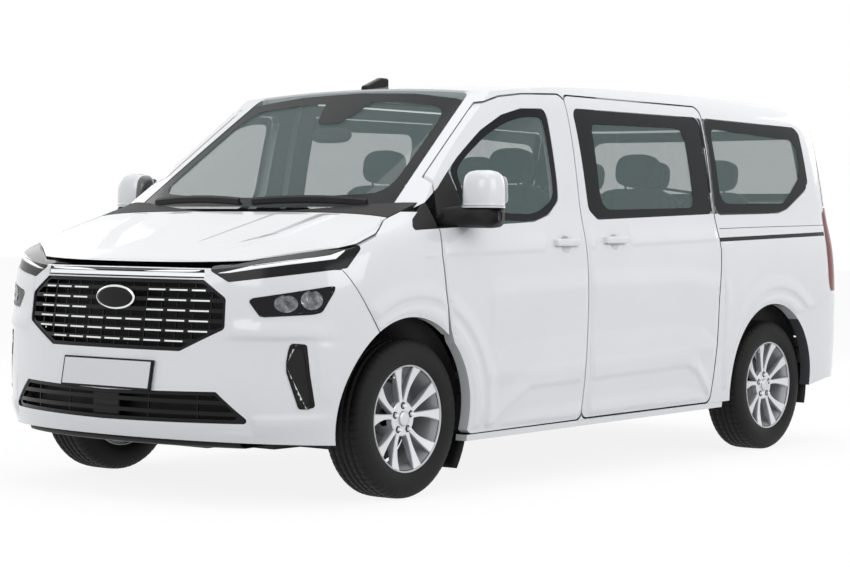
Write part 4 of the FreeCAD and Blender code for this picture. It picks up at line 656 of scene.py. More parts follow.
shield = lathe("shield", SHIELD_PROFILE, cast, 64)
for name, x, side, body in WHEELS:
    holder = {"wheel_fl": "knuckle_l", "wheel_fr": "knuckle_r"}.get(body, "body")
    wheel_part(f"shield_{name}", shield, x, side, holder)
    skirt(f"skirt_{name}", x, side, *SKIRT_ARCS[name.split("_")[0]])


# Seats: cushions blown up as cloth, with seams, on a plain frame
SEAT_STEP = 0.0098
CLOTH_PRESSURE, CLOTH_STEPS, CLOTH_REACH = 4.0, 20, 0.022


def applied(piece):
    """The piece's mesh with its modifiers applied, which takes the place of its own."""
    bpy.context.view_layer.update()
    graph = bpy.context.evaluated_depsgraph_get()
    mesh = bpy.data.meshes.new_from_object(piece.evaluated_get(graph))
    piece.modifiers.clear()
    piece.data = mesh
    return mesh


def soft_form(name, size, bow, power):
    """A cushion block remeshed finely and puffed up by the cloth solver, about its own middle."""
    build = bmesh.new()
    bmesh.ops.create_cube(build, size=1.0)
    bmesh.ops.scale(build, vec=Vector(size), verts=build.verts)
    bmesh.ops.subdivide_edges(build, edges=build.edges[:], cuts=7, use_grid_fill=True)
    half = Vector(size) / 2
    for v in build.verts:
        a, b = abs(v.co.x) / half.x, abs(v.co.y) / half.y
        edge = max(a, b)
        pull = edge / max((a ** power + b ** power) ** (1 / power), 1e-6) if edge > 0 else 1
        v.co.x *= pull
        v.co.y *= pull
        v.co.z *= 1 - 0.10 * edge ** 6
        v.co.z += bow * (abs(v.co.y) / half.y) ** 4 * (1 if v.co.z > 0 else 0)
    form = link_new(name, built_mesh(name, build, cloth))
    bevel = form.modifiers.new("edge", "BEVEL")
    bevel.width, bevel.segments = min(size) * 0.22, 3
    bevel.limit_method = "ANGLE"
    remesh = form.modifiers.new("remesh", "REMESH")
    remesh.mode, remesh.voxel_size = "VOXEL", SEAT_STEP
    start = applied(form)
    blow_up(form, [v.co.copy() for v in start.vertices])
    return form


def blow_up(form, still):
    """Runs the cloth solver under pressure, and caps how far each point moves from its start."""
    change = form.modifiers.new("cloth", "CLOTH")
    settings = change.settings
    settings.use_pressure = True
    settings.uniform_pressure_force = CLOTH_PRESSURE
    settings.effector_weights.gravity = 0.0
    settings.tension_stiffness = settings.compression_stiffness = 25
    settings.bending_stiffness = 2.0
    settings.quality = 4
    change.point_cache.frame_end = CLOTH_STEPS
    for step in range(CLOTH_STEPS):
        bpy.context.scene.frame_set(step + 1)
    for v, before in zip(applied(form).vertices, still):
        move = v.co - before
        if move.length > CLOTH_REACH:
            v.co = before + move.normalized() * CLOTH_REACH
    bpy.context.scene.frame_set(1)


def seam_groove(mesh, lines, depth=0.006, width=0.007):
    """Presses stitched grooves into a cushion along straight lines in plan."""
    runs = [(Vector(a), Vector(b)) for a, b in lines]
    for v in mesh.vertices:
        near = 1.0
        q = Vector((v.co.x, v.co.y))
        for a, b in runs:
            share = max(0.0, min(1.0, (q - a).dot(b - a) / (b - a).length_squared))
            near = min(near, (q - a.lerp(b, share)).length)
        if v.co.z > 0:
            v.co.z -= depth * math.exp(-(near / width) ** 2)


def seat_template(name, size, bow, lines, power):
    """One padded form, brought to its size and sewn."""
    form = soft_form(name, size, bow, power)
    mesh = form.data
    low = [min(v.co[k] for v in mesh.vertices) for k in range(3)]
    high = [max(v.co[k] for v in mesh.vertices) for k in range(3)]
    for v in mesh.vertices:
        for k in range(3):
            v.co[k] = ((v.co[k] - low[k]) / (high[k] - low[k]) - 0.5) * size[k]
    seam_groove(mesh, lines)
    mesh.materials.clear()
    mesh.materials.append(cloth)
    for polygon in mesh.polygons:
        polygon.use_smooth = True
    bpy.data.objects.remove(form)
    return mesh


def frame_lines(half_x, half_y, bars):
    """Two seams along the cushion and some across between them."""
    lines = [((-half_x, -half_y), (half_x, -half_y)), ((-half_x, half_y), (half_x, half_y))]
    return lines + [((x, -half_y), (x, half_y)) for x in bars]


CUSHION, BACK, REST = (0.520, 0.480, 0.150), (0.560, 0.480, 0.120), (0.175, 0.245, 0.085)
CUSHION_SEAMS = frame_lines(0.19, 0.135, (-0.10, 0.06, 0.19))
BACK_SEAMS = frame_lines(0.20, 0.130, (-0.14, 0.02, 0.16))
REST_SEAMS = frame_lines(0.055, 0.10, (0.055,))
cushion_mesh = seat_template("cushion_form", CUSHION, 0.020, CUSHION_SEAMS, 7.0)
back_mesh = seat_template("back_form", BACK, 0.022, BACK_SEAMS, 5.0)
rest_mesh = seat_template("rest_form", REST, 0.004, REST_SEAMS, 3.2)
BACK_TILT, SEAT_FILL = math.radians(15.8), 0.9
# Front edge of each row, and the middle and width share of its seats
SEATS = [
    ("driver_seat", 0.681, [(0.406, 1.0)]), ("passenger_seat", 0.681, [(-0.406, 1.0)]),
    ("middle_seats", -0.280, [(0.528, 1.0), (0.0, 1.0), (-0.528, 1.0)]),
    ("rear_seats", -1.2255, [(0.447, 0.915), (0.0, 0.915), (-0.447, 0.915)]),
]
SEAT_FLOOR, SEAT_LOW, SEAT_DEPTH = 0.532, 0.812, 0.53
# Middles behind the front edge, and heights
CUSHION_PLACE, BACK_PLACE, REST_PLACE = (0.260, SEAT_LOW + 0.072), (0.522, 1.112), (0.594, 1.480)
POST_PLACE, POST_HALF_GAP = (0.572, 1.365), 0.06
# Parts on both sides of a frame: distance from the seat's back and front edges, middle across as a
# share of the seat's width, half width, foot and top, bevel
SEAT_RAIL = ((0.02, 0.05), 0.205, 0.018, (SEAT_FLOOR, SEAT_FLOOR + 0.035), 0.006)
SEAT_LEG = ((0.10, 0.12), 0.205, 0.014, (SEAT_FLOOR + 0.03, SEAT_LOW + 0.02), 0.006)
SEAT_VALANCE = ((0.0, 0.06), 0.232, 0.008, (SEAT_LOW - 0.045, SEAT_LOW + 0.045), 0.007)


def seat_part(name, mesh, place, node, turn, scale):
    """One padded form set in its place, its width scaled."""
    made = link_new(name, mesh, "body")
    made.matrix_world = Matrix.Translation(place) @ turn @ Matrix.Diagonal((1, scale, 1, 1))
    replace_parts(made, node)


def seat_frame(name, front, y, wide):
    """Pedestal, side valances, headrest posts and belt buckle of one seat, as one piece."""
    build = bmesh.new()
    back = front - SEAT_DEPTH

    def block(x_range, y_range, z_range, bevel):
        """A bevelled block, placed along from the seat's back and front edges."""
        along = (back + x_range[0], front - x_range[1])
        low, high = (Vector(corner) for corner in zip(along, y_range, z_range))
        made = bmesh.ops.create_cube(build, size=1.0)["verts"]
        bmesh.ops.scale(build, vec=high - low, verts=made)
        bmesh.ops.translate(build, vec=(high + low) / 2, verts=made)
        edges = list(dict.fromkeys(e for v in made for e in v.link_edges))
        bmesh.ops.bevel(build, geom=edges, offset=bevel, segments=2, affect="EDGES")

    for side in (-1, 1):
        for x_range, share, half, z_range, bevel in (SEAT_RAIL, SEAT_LEG, SEAT_VALANCE):
            middle = y + side * wide * share
            block(x_range, (middle - half, middle + half), z_range, bevel)
    pan, buckle = (y - wide * 0.2, y + wide * 0.2), (y - wide * 0.262, y - wide * 0.240)
    block((0.04, 0.05), pan, (SEAT_LOW - 0.02, SEAT_LOW + 0.03), 0.012)
    block((0.03, SEAT_DEPTH - 0.05), buckle, (SEAT_LOW + 0.02, SEAT_LOW + 0.14), 0.006)
    for side in (-1, 1):
        post = Matrix.Translation((front - POST_PLACE[0], y + side * POST_HALF_GAP, POST_PLACE[1]))
        bmesh.ops.create_cone(build, cap_ends=True, segments=16, radius1=0.006, radius2=0.006, depth=0.12,
                              matrix=post)
    return link_new(name, built_mesh(name, build, matt_black), "body")


flip = Matrix.Rotation(math.pi, 4, "Z")
back_turn = Matrix.Rotation(math.pi / 2 - BACK_TILT, 4, "Y")
rest_turn = Matrix.Rotation(math.pi / 2 - BACK_TILT * 0.5, 4, "Y")
for node, front, spots in SEATS:
    for index, (y, wide) in enumerate(spots):
        tag = f"{node}_{index + 1}"
        forms = (("cushion", cushion_mesh, CUSHION_PLACE, flip, wide),
                 ("back", back_mesh, BACK_PLACE, back_turn, wide),
                 ("rest", rest_mesh, REST_PLACE, rest_turn, 1.0))
        for kind, mesh, (behind, z), turn, scale in forms:
            seat_part(f"{kind}_{tag}", mesh, (front - behind, y, z), node, turn, scale)
        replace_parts(seat_frame(f"frame_{tag}", front, y, wide), node)


# Pressed relief of the sides, as fine panels a little proud of the CAD: x and height, in metres
BELT_LINE = [(1.52, 1.040), (1.376, 1.048), (0.833, 1.061), (0.288, 1.078), (-0.268, 1.100), (-0.945, 1.123),
             (-1.6, 1.135), (-2.2, 1.140)]
WAIST_LINE = [(1.140, 0.60), (1.110, 0.80), (1.060, 0.850), (1.001, 0.865), (0.309, 0.892), (-0.587, 0.905),
              (-0.938, 0.870), (-1.080, 0.827), (-1.12, 0.60)]
UPPER_DISH = [(1.080, 0.530), (1.018, 0.615), (0.899, 0.656), (0.306, 0.684), (-0.522, 0.701),
              (-0.764, 0.674), (-0.845, 0.636), (-0.900, 0.578)]
LOWER_DISH = [(1.080, 0.520), (0.298, 0.542), (-0.252, 0.560), (-0.900, 0.578)]
SCALLOP_TOP = [(1.080, 0.270), (1.040, 0.302), (0.901, 0.384), (0.754, 0.454), (0.292, 0.470),
               (-0.258, 0.486), (-0.602, 0.497), (-0.692, 0.462), (-0.817, 0.344), (-0.860, 0.290)]
SCALLOP_LOW = [(1.080, 0.262), (0.966, 0.306), (0.741, 0.353), (0.281, 0.375), (-0.578, 0.388),
               (-0.746, 0.358), (-0.860, 0.285)]
ARCH_R = 0.512
# How far each form stands out
BELT_RISE, WAIST_RISE, DISH_RISE, SCALLOP_RISE = 0.0065, 0.0105, 0.0075, 0.0105
ARCH_RISE, LIP_RISE = 0.0080, 0.0060


def level_at(line, x):
    """The second value of a line at x, found between its points, whose first values fall."""
    for (x0, z0), (x1, z1) in zip(line, line[1:]):
        if x1 <= x <= x0:
            return z0 + (z1 - z0) * (x0 - x) / (x0 - x1)
    return None


def ease(value):
    """A soft step from 0 to 1."""
    value = max(0.0, min(1.0, value))
    return value * value * (3 - 2 * value)


def pressed(x, z):
    """How far the pressed steel stands out at a place on the side, in metres."""
    out = 0.0
    belt = level_at(BELT_LINE, x)
    if belt is not None:
        out += BELT_RISE * ease((z - belt + 0.008) / 0.016) * (1 - ease((z - belt) / 0.10))
    waist, upper, lower = (level_at(line, x) for line in (WAIST_LINE, UPPER_DISH, LOWER_DISH))
    fade = ease((1.09 - x) / 0.06) * ease((x + 1.05) / 0.10)
    if waist is not None:
        floor = upper if upper is not None else min(0.55, waist - 0.02)
        ramp = max(0.0, min(1.0, (z - floor) / max(waist - floor, 0.02)))
        out += fade * WAIST_RISE * ramp * (1 - ease((z - waist) / 0.10))
    if upper is not None and lower is not None and z < upper:
        ramp = max(0.0, min(1.0, (upper - z) / max(upper - lower, 0.02)))
        out += DISH_RISE * ramp * (1 - ease((lower - z) / 0.075))
    top, low = level_at(SCALLOP_TOP, x), level_at(SCALLOP_LOW, x)
    if top is not None and low is not None:
        out += SCALLOP_RISE * ease((z - top + 0.026) / 0.030) * (1 - ease((z - top) / 0.10))
        out += SCALLOP_RISE * ease((low - z + 0.004) / 0.075)
    for hub_x in (FRONT_X, REAR_X):
        r = math.hypot(x - hub_x, (z - HUB_Z) * 0.975)
        out += ARCH_RISE * ease((r - ARCH_R + 0.012) / 0.016) * (1 - ease((r - ARCH_R - 0.006) / 0.075))
        out += LIP_RISE * (1 - ease((r - 0.462) / 0.016)) * ease((r - 0.40) / 0.02)
    return out


PANEL_STEP_X, PANEL_STEP_Z, PANEL_LIFT = 0.011, 0.0075, 0.0004
PANEL_FACING, PANEL_INSIDE, PANEL_EDGE_CELLS = 0.55, 0.86, 3.0
# The door handles, left out of the skins: from and to along, low and high
HANDLE_BOXES = [(0.325, 0.600, 1.048, 1.165), (-0.090, 0.185, 1.060, 1.178)]
BESIDE = ((1, 0), (-1, 0), (0, 1), (0, -1))


def steps_in(places):
    """How many cells each place of a grid lies from the grid's edge."""
    depth, level = {}, 0
    now = [(row, column) for row, column in places
           if any((row + i, column + j) not in places for i, j in BESIDE)]
    while now:
        for key in now:
            depth.setdefault(key, level)
        following = []
        for row, column in now:
            for i, j in BESIDE:
                near = (row + i, column + j)
                if near in places and near not in depth:
                    depth[near] = level + 1
                    following.append(near)
        now, level = following, level + 1
    return depth


def grid_over(u_range, v_range, u_step, v_step):
    """An even grid over two ranges: the row and column of each place, and the point."""
    for row in range(int((v_range[1] - v_range[0]) / v_step) + 1):
        for column in range(int((u_range[1] - u_range[0]) / u_step) + 1):
            yield (row, column), Vector((u_range[0] + column * u_step, v_range[0] + row * v_step))


def relief_panel(name, node, side, body, x_range, z_range):
    """A fine skin over one pressed panel that carries its creases."""
    search, places = tree_of(node), {}
    for key, p in grid_over(x_range, z_range, PANEL_STEP_X, PANEL_STEP_Z):
        if any(a <= p.x <= b and c <= p.y <= d for a, b, c, d in HANDLE_BOXES):
            continue
        place, normal, _, _ = search.ray_cast(*side_view(p, side))
        if place is not None and normal.y * side > PANEL_FACING and place.y * side > PANEL_INSIDE:
            places[key] = place
    depth = steps_in(places)
    keys = {key: index for index, key in enumerate(places)}
    points = []
    for key, place in places.items():
        rise = pressed(place.x, place.z) * ease(depth.get(key, 0) / PANEL_EDGE_CELLS)
        points.append(place + Vector((0, side * (PANEL_LIFT + rise), 0)))
    faces = [tuple(keys[key] for key in corners[::-side]) for corners in cells_of(places)]
    piece_from(name, points, faces, white_paint, body)


for name, side in SIDES:
    for kind, node, body, x_range, z_range in (
            ("door", "front_door", f"door_{name[0]}", (0.290, 1.390), (0.275, 1.190)),
            ("slide", "sliding_door", "body", (-0.930, 0.270), (0.275, 1.215)),
            ("rear", "body_side", "body", (-2.150, -0.960), (0.345, 1.120)),
            ("wing", "front_wing", "body", (1.385, 2.020), (0.715, 1.060))):
        relief_panel(f"{kind}_press_{name}", f"{node}_{name}", side, body, x_range, z_range)

RAIL_SEAM = [(-0.960, 1.181), (-1.384, 1.193), (-1.826, 1.203), (-2.118, 1.210)]
LAMP_WRAP = [(-2.152, 0.846), (-2.152, 1.298), (-2.126, 1.288), (-2.098, 1.060), (-2.102, 0.900),
             (-2.120, 0.850)]
for name, side in SIDES:
    rear = tree_of(f"body_side_{name}", "tail_lamps"), side_view, side
    strip(f"rail_seam_{name}", RAIL_SEAM, 0.0028, rear, gloss_black, lift=0.0004, thick=0.0008)
    patch(f"lamp_wrap_{name}", LAMP_WRAP, rear, red_lamp, corner=0.012, lift=0.0025)


# Fine skins over the bonnet, the bumper's corners and the tailgate
SKIN_LIFT, SKIN_FACING, SKIN_EDGE_CELLS = 0.0005, 0.42, 4


def in_opening(place):
    """True on the walls inside the grille openings."""
    reach = 0.70 if 0.325 < place.z < 0.492 else 0.0
    if 0.625 < place.z < 0.950:
        reach = 0.36 + 0.205 * ease((place.z - 0.64) / 0.10) + 0.020
    return place.x > 2.0 and abs(place.y) < reach


def clear_cells(key, places):
    """How many rings of neighbours a place of a grid has, up to the width of the soft edge."""
    row, column = key
    for level in range(1, SKIN_EDGE_CELLS + 1):
        near = [(row + level * i, column + level * j) for i in (-1, 0, 1) for j in (-1, 0, 1)]
        if not all(other in places for other in near):
            return level - 1
    return SKIN_EDGE_CELLS


def skin_panel(name, on, u_range, v_range, step, keep, rise, body="body"):
    """A fine skin over part of a surface that carries soft pressings."""
    search, view, side = on
    places = {}
    for key, p in grid_over(u_range, v_range, step, step):
        origin, direction = view(p, side)
        place, normal, _, _ = search.ray_cast(origin, direction)
        facing = place is not None and normal.dot(-direction) > SKIN_FACING
        if facing and keep(place) and not in_opening(place):
            places[key] = (p, place, normal)
    keys = {key: index for index, key in enumerate(places)}
    points = []
    for key, (p, place, normal) in places.items():
        edge = ease(clear_cells(key, places) / SKIN_EDGE_CELLS)
        raised = place + normal * (SKIN_LIFT + rise(p) * edge)
        raised.x = max(cad_box[0][0], min(cad_box[1][0], raised.x))
        points.append(raised)
    faces = []
    for corners in cells_of(places):
        flat = [places[key][1] for key in corners]
        if max((a - b).length for a in flat for b in flat) < step * 4:
            face = [keys[key] for key in corners]
            turn = (flat[1] - flat[0]).cross(flat[2] - flat[0])
            faces.append(tuple(face if turn.dot(places[corners[0]][2]) > 0 else face[::-1]))
    used = sorted({i for face in faces for i in face})
    fresh = {old: new for new, old in enumerate(used)}
    faces = [tuple(fresh[i] for i in face) for face in faces]
    piece_from(name, [points[i] for i in used], faces, white_paint, body)


INNER_CREASE = [(2.16, 0.110), (2.007, 0.160), (1.827, 0.218), (1.637, 0.276)]
OUTER_CREASE = [(2.16, 0.360), (2.079, 0.424), (1.921, 0.550), (1.640, 0.616)]


def bonnet_rise(p):
    """A step along the inner crease and a ridge along the outer one."""
    inner, outer = level_at(INNER_CREASE, p.x), level_at(OUTER_CREASE, p.x)
    if inner is None or outer is None:
        return 0.0
    fade = ease((2.15 - p.x) / 0.16)
    y = abs(p.y)
    step = ease((y - inner + 0.022) / 0.044) * (1 - ease((y - inner - 0.03) / 0.20))
    ridge = ease((y - outer + 0.12) / 0.11) * (1 - ease((y - outer) / 0.035))
    return fade * (0.0050 * step + 0.0075 * ridge)


skin_panel("bonnet_press", (tree_of("bonnet"), top_view, 1), (1.645, 2.255), (-0.915, 0.915), 0.009,
           lambda place: True, bonnet_rise, "bonnet_lid")

LIP_LINE = [(0.50, 0.400), (0.23, 0.392), (-0.30, 0.372)]


def corner_rise(p):
    """Soft ledges of the bumper corner: over the slot, beside it, and at the lip."""
    a, z = p.x, p.y
    across = ease((a + 0.22) / 0.34) * (1 - ease((a - 0.22) / 0.24))
    shelf = ease((z - 0.690) / 0.022) * (1 - ease((z - 0.720) / 0.075))
    low = level_at(LIP_LINE, a) or 0.38
    foot = ease((low - z + 0.006) / 0.028) * (1 - ease((low - z - 0.03) / 0.09))
    cheek = (ease((a - 0.292) / 0.030) * (1 - ease((a - 0.335) / 0.10)) * ease((z - 0.42) / 0.06)
             * (1 - ease((z - 0.66) / 0.05)))
    return across * (0.0095 * shelf + 0.0090 * foot) + 0.0060 * cheek


for name, side in SIDES:
    skin_panel(f"corner_press_{name}", (tree_of("front_bumper"), corner_view, side), (-0.42, 0.60),
               (0.268, 0.985), 0.008,
               lambda place, side=side: place.x > 1.93 and place.y * side > 0.20 and place.z < 0.975,
               corner_rise)


# Distance behind the lip and height of the tray's edge points
TRAY_SECTION = ((0.030, 0.268), (0.036, 0.250), (0.060, 0.243), (0.36, 0.250), (0.37, 0.262))
TRAY_HALF, TRAY_LIP_Z = 0.64, 0.275


def lip_tray():
    """The black tray under the bumper's lip."""
    search, points, count = tree_of("front_bumper"), [], 41
    for step in range(count):
        y = -TRAY_HALF + 2 * TRAY_HALF * step / (count - 1)
        place = search.ray_cast(*front_view(Vector((y, TRAY_LIP_Z))))[0]
        edge = place.x if place is not None else 2.2
        points += [(edge - back, y, z) for back, z in TRAY_SECTION]
    made = piece_from("lip_tray", points, grid_faces(count, len(TRAY_SECTION)), matt_black)
    solidify(made, 0.003, 0)


lip_tray()


# Tail: glass border, high lamp, handle, wiper and pressings. Distance across and height.
def flipped(pairs, side):
    return [(y * side, z) for y, z in pairs]


GATE_OUTER = [(-0.865, 1.343), (0.865, 1.343), (0.800, 1.757), (-0.800, 1.757)]
GATE_CLEAR = [(-0.760, 1.392), (0.760, 1.392), (0.700, 1.700), (-0.700, 1.700)]
GATE_HANDLE = [(-0.250, 1.246), (0.250, 1.246), (0.235, 1.276), (-0.235, 1.276)]
HIGH_LAMP = [(-0.200, 1.783), (0.200, 1.783), (0.200, 1.800), (-0.200, 1.800)]
REAR_WIPER = [(0.045, 1.368), (0.020, 1.385), (-0.330, 1.432)]
REAR_APRON = [(-0.700, 0.372), (0.700, 0.372)]
REVERSE_LENS = [(0.800, 0.905), (0.905, 0.905), (0.905, 0.965), (0.790, 0.965)]
REAR_MARKER = [(0.690, 0.440), (0.820, 0.440), (0.815, 0.470), (0.695, 0.470)]
gate_on = tree_of("tailgate_glass", "tailgate"), rear_view, 1
bumper_on = tree_of("rear_bumper"), rear_view, 1
ring("gate_border", GATE_OUTER, GATE_CLEAR, gate_on, ceramic, "gate", corner=(0.03, 0.07), rows=10, count=260)
patch("high_lamp", HIGH_LAMP, gate_on, red_lamp, "gate", corner=0.006, lift=0.003)
patch("gate_handle", GATE_HANDLE, gate_on, matt_black, "gate", corner=0.008, lift=0.003)
strip("rear_wiper", REAR_WIPER, 0.015, gate_on, matt_black, "gate", lift=0.006, thick=0.006)
strip("rear_apron", REAR_APRON, 0.056, bumper_on, matt_black, lift=0.002, thick=0.002, steps=40)
for name, side in SIDES:
    lens_on = tree_of("tail_lamps"), rear_view, 1
    patch(f"reverse_lens_{name}", flipped(REVERSE_LENS, side), lens_on, clear_trim, corner=0.012,
          lift=0.002)
    patch(f"rear_marker_{name}", flipped(REAR_MARKER, side), bumper_on, red_lamp, corner=0.008,
          lift=0.002)


def gate_rise(p):
    """A recess for the plate and a crease under the glass."""
    wide = ease((abs(p.x) - 0.290) / 0.022)
    tall = max(ease((0.880 - p.y) / 0.022), ease((p.y - 1.060) / 0.022))
    crease = ease((p.y - 1.165) / 0.018) * (1 - ease((p.y - 1.195) / 0.070))
    fade = ease((0.78 - abs(p.x)) / 0.12)
    return 0.0060 * max(wide, tall) * fade + 0.0060 * crease * fade


skin_panel("gate_press", (tree_of("tailgate"), rear_view, 1), (-0.820, 0.820), (0.600, 1.325), 0.010,
           lambda place: place.x < -2.25, gate_rise, "gate")


# Grille, badge place and light bar
nose = tree_of("front_bumper", "grille", "light_bar", "headlamp_left", "headlamp_right", "fog_lamps",
               "lower_grille")
GRILLE_LOW, GRILLE_HIGH, GRILLE_ROWS, GRILLE_COLUMNS = 0.6403, 0.9386, 6, 11
SEGMENT_PITCH, SEGMENT_HALF, SEGMENT_LEAST, DASH_HEIGHT = 0.115, 0.046, 0.02, 0.0065
# Height and half width of the grille's opening, from its top, and what the dashes leave at its edge
GRILLE_HALF, GRILLE_EDGE = [(0.938, 0.445), (0.865, 0.560), (0.737, 0.565), (0.640, 0.36)], 0.030
BADGE_MIDDLE, BADGE_CLEAR = (0.0, 0.856), (0.15, 0.052)
BADGE_BOW = 0.055


def dash_spans():
    """Height and ends of each bright dash in the grille, which keep clear of the badge place."""
    pitch = (GRILLE_HIGH - GRILLE_LOW) / (GRILLE_ROWS + 1)
    for row in range(GRILLE_ROWS):
        level = GRILLE_LOW + pitch * (row + 1)
        reach = level_at(GRILLE_HALF, level) - GRILLE_EDGE
        for column in range(GRILLE_COLUMNS):
            middle = (column - GRILLE_COLUMNS // 2) * SEGMENT_PITCH
            start, end = max(-reach, middle - SEGMENT_HALF), min(reach, middle + SEGMENT_HALF)
            in_badge = abs(level - BADGE_MIDDLE[1]) < BADGE_CLEAR[1] and abs(middle) < BADGE_CLEAR[0]
            if end - start > SEGMENT_LEAST and not in_badge:
                yield level - 0.002, start, end


def grille_dashes():
    """Short bright bars laid along the slats, as one piece."""
    slats, points, faces, steps = (tree_of("grille"), front_view, 1), [], [], 6
    for z, start, end in dash_spans():
        first = len(points)
        for level in (z - DASH_HEIGHT / 2, z + DASH_HEIGHT / 2):
            line = [Vector((start + (end - start) * i / steps, level)) for i in range(steps + 1)]
            points += drop(slats, line, 0.001)
        faces += [tuple(first + i for i in face) for face in grid_faces(2, steps + 1)]
    solidify(piece_from("grille_dashes", points, faces, chrome, smooth=False), 0.003, -1)


def backing(name, low, high, half, depth):
    """A dark panel behind an opening, from the surface above and below it."""
    rows, columns = 5, 25
    points = []
    for row in range(rows):
        z = low + (high - low) * row / (rows - 1)
        for column in range(columns):
            y = -half + 2 * half * column / (columns - 1)
            found = [nose.ray_cast(*front_view(Vector((y, level))))[0] for level in (low - 0.02, high + 0.02)]
            x = min(place.x if place is not None else 2.3 for place in found) - depth
            points.append(Vector((x, y, z)))
    return piece_from(name, points, grid_faces(rows, columns), matt_black)


def domed_oval(name, half_y, half_z, x_face, dome, look, rows=8, count=64):
    """A shallow oval dome at the badge place, bowed as the nose is."""
    points = []
    for row in range(rows):
        share = 1 - row / rows
        for i in range(count):
            turn = 2 * math.pi * i / count
            p = Vector((BADGE_MIDDLE[0] + half_y * share * math.cos(turn),
                        BADGE_MIDDLE[1] + half_z * share * math.sin(turn)))
            points.append((x_face + dome * (1 - share * share) - BADGE_BOW * p.x * p.x, p.x, p.y))
    points.append((x_face + dome, *BADGE_MIDDLE))
    solidify(piece_from(name, points, fan_faces(rows, count), look), 0.010, -1)


grille_dashes()
backing("grille_back", 0.62, 0.955, 0.60, 0.060)
backing("lower_grille_back", 0.335, 0.490, 0.80, 0.060)
domed_oval("badge_place", 0.106, 0.044, 2.3925, 0.004, gloss_black)
domed_oval("badge_rim", 0.115, 0.0525, 2.3885, 0.002, chrome)
bar_on = tree_of("light_bar", "front_bumper", "grille"), front_view, 1
for name, level, width in (("bar_shadow_band", 0.9740, 0.0130), ("bar_lower_band", 0.9435, 0.014)):
    strip(name, [(-0.468, level), (0.468, level)], width, bar_on, gloss_black, lift=0.001,
          thick=0.0015, steps=60)


# Lamps in the corner view: distance across it from the front axle's middle, and height
GUIDE_LOW = [(-0.095, 0.966), (-0.05, 0.969), (0.06, 0.987), (0.193, 1.0065), (0.300, 1.0200), (0.390, 1.032),
             (0.428, 1.066)]
GUIDE_HIGH = [(-0.094, 0.968), (-0.05, 0.977), (0.06, 1.004), (0.193, 1.0235), (0.300, 1.0365),
              (0.366, 1.047), (0.426, 1.068)]
LOWLAMP_OUTER = [(0.028, 0.859), (0.390, 0.923), (0.386, 0.900), (0.335, 0.812), (0.300, 0.803),
                 (0.080, 0.789)]
LOWLAMP_INNER = [(0.046, 0.853), (0.374, 0.911), (0.370, 0.896), (0.327, 0.822), (0.296, 0.813),
                 (0.088, 0.799)]
REFLECTORS = (("inner", (0.186, 0.846), (0.050, 0.036)), ("outer", (0.292, 0.862), (0.046, 0.040)))


def reflector(name, centre, half, on, count=16, rows=5):
    """A faceted bright bowl under the lamp's cover."""
    points = []
    for row in range(rows):
        share = 1 - row / rows
        for step in range(count):
            turn = 2 * math.pi * (step + 0.5 * (row % 2)) / count
            y = centre[0] + half[0] * share * math.cos(turn)
            z = centre[1] + half[1] * share * math.sin(turn)
            facet = ((step * 7 + row * 5) % 4) / 3
            points += drop(on, [Vector((y, z))], 0.0015 + 0.0025 * facet * (0.4 + 0.6 * share))
    points += drop(on, [Vector(centre)], 0.0015)
    piece_from(name, points, fan_faces(rows, count), bright_bowl, smooth=False)


for name, side in SIDES:
    head_on = tree_of(f"headlamp_{name}"), corner_view, side
    fog_on = tree_of("fog_lamps", "front_bumper"), corner_view, side
    band(f"light_guide_{name}", GUIDE_LOW, GUIDE_HIGH, head_on, light_guide)
    ring(f"lowlamp_bezel_{name}", LOWLAMP_OUTER, LOWLAMP_INNER, fog_on, gloss_black,
         corner=(0.012, 0.010), lift=0.0022)
    patch(f"lowlamp_bed_{name}", LOWLAMP_INNER, fog_on, gloss_black, corner=0.010, lift=0.0012, rows=8)
    for kind, centre, half in REFLECTORS:
        reflector(f"{kind}_reflector_{name}", centre, half, fog_on)
solidify(backing("centre_block", 0.345, 0.468, 0.075, 0.004), 0.02, -1)

PLATE_FOOT, PLATE_RAKE, PLATE_SIZE = Vector((2.4415, 0, 0.47975)), math.radians(10), (0.520, 0.112)
# Distance beyond the plate's edge and ahead of its middle plane
PLATE_SURROUND = ((0.0085, -0.006), (0.0085, 0.0060), (0.006, 0.0075), (-0.0010, 0.0075), (-0.0010, -0.006))


def plate_surround_and_shadow():
    """A thin dark surround behind the blank plate's edge: partly its backing plate, partly a painted shadow
    along the edge.
    """
    across, rise = Vector((0, 1, 0)), Vector((-math.sin(PLATE_RAKE), 0, math.cos(PLATE_RAKE)))
    ahead = Vector((math.cos(PLATE_RAKE), 0, math.sin(PLATE_RAKE)))
    points = []
    for edge, face in PLATE_SURROUND:
        for y, z in ((-1, 0), (1, 0), (1, 1), (-1, 1)):
            wide = y * (PLATE_SIZE[0] / 2 + edge)
            tall = PLATE_SIZE[1] + edge if z else -edge
            points.append(PLATE_FOOT + across * wide + rise * tall + ahead * face)
    faces = grid_faces(len(PLATE_SURROUND), 4, closed_rows=True, closed_columns=True)
    piece_from("plate_surround_and_shadow", points, faces, gloss_black, smooth=False)


# dark surround: backing plate and painted shadow round the plate
plate_surround_and_shadow()

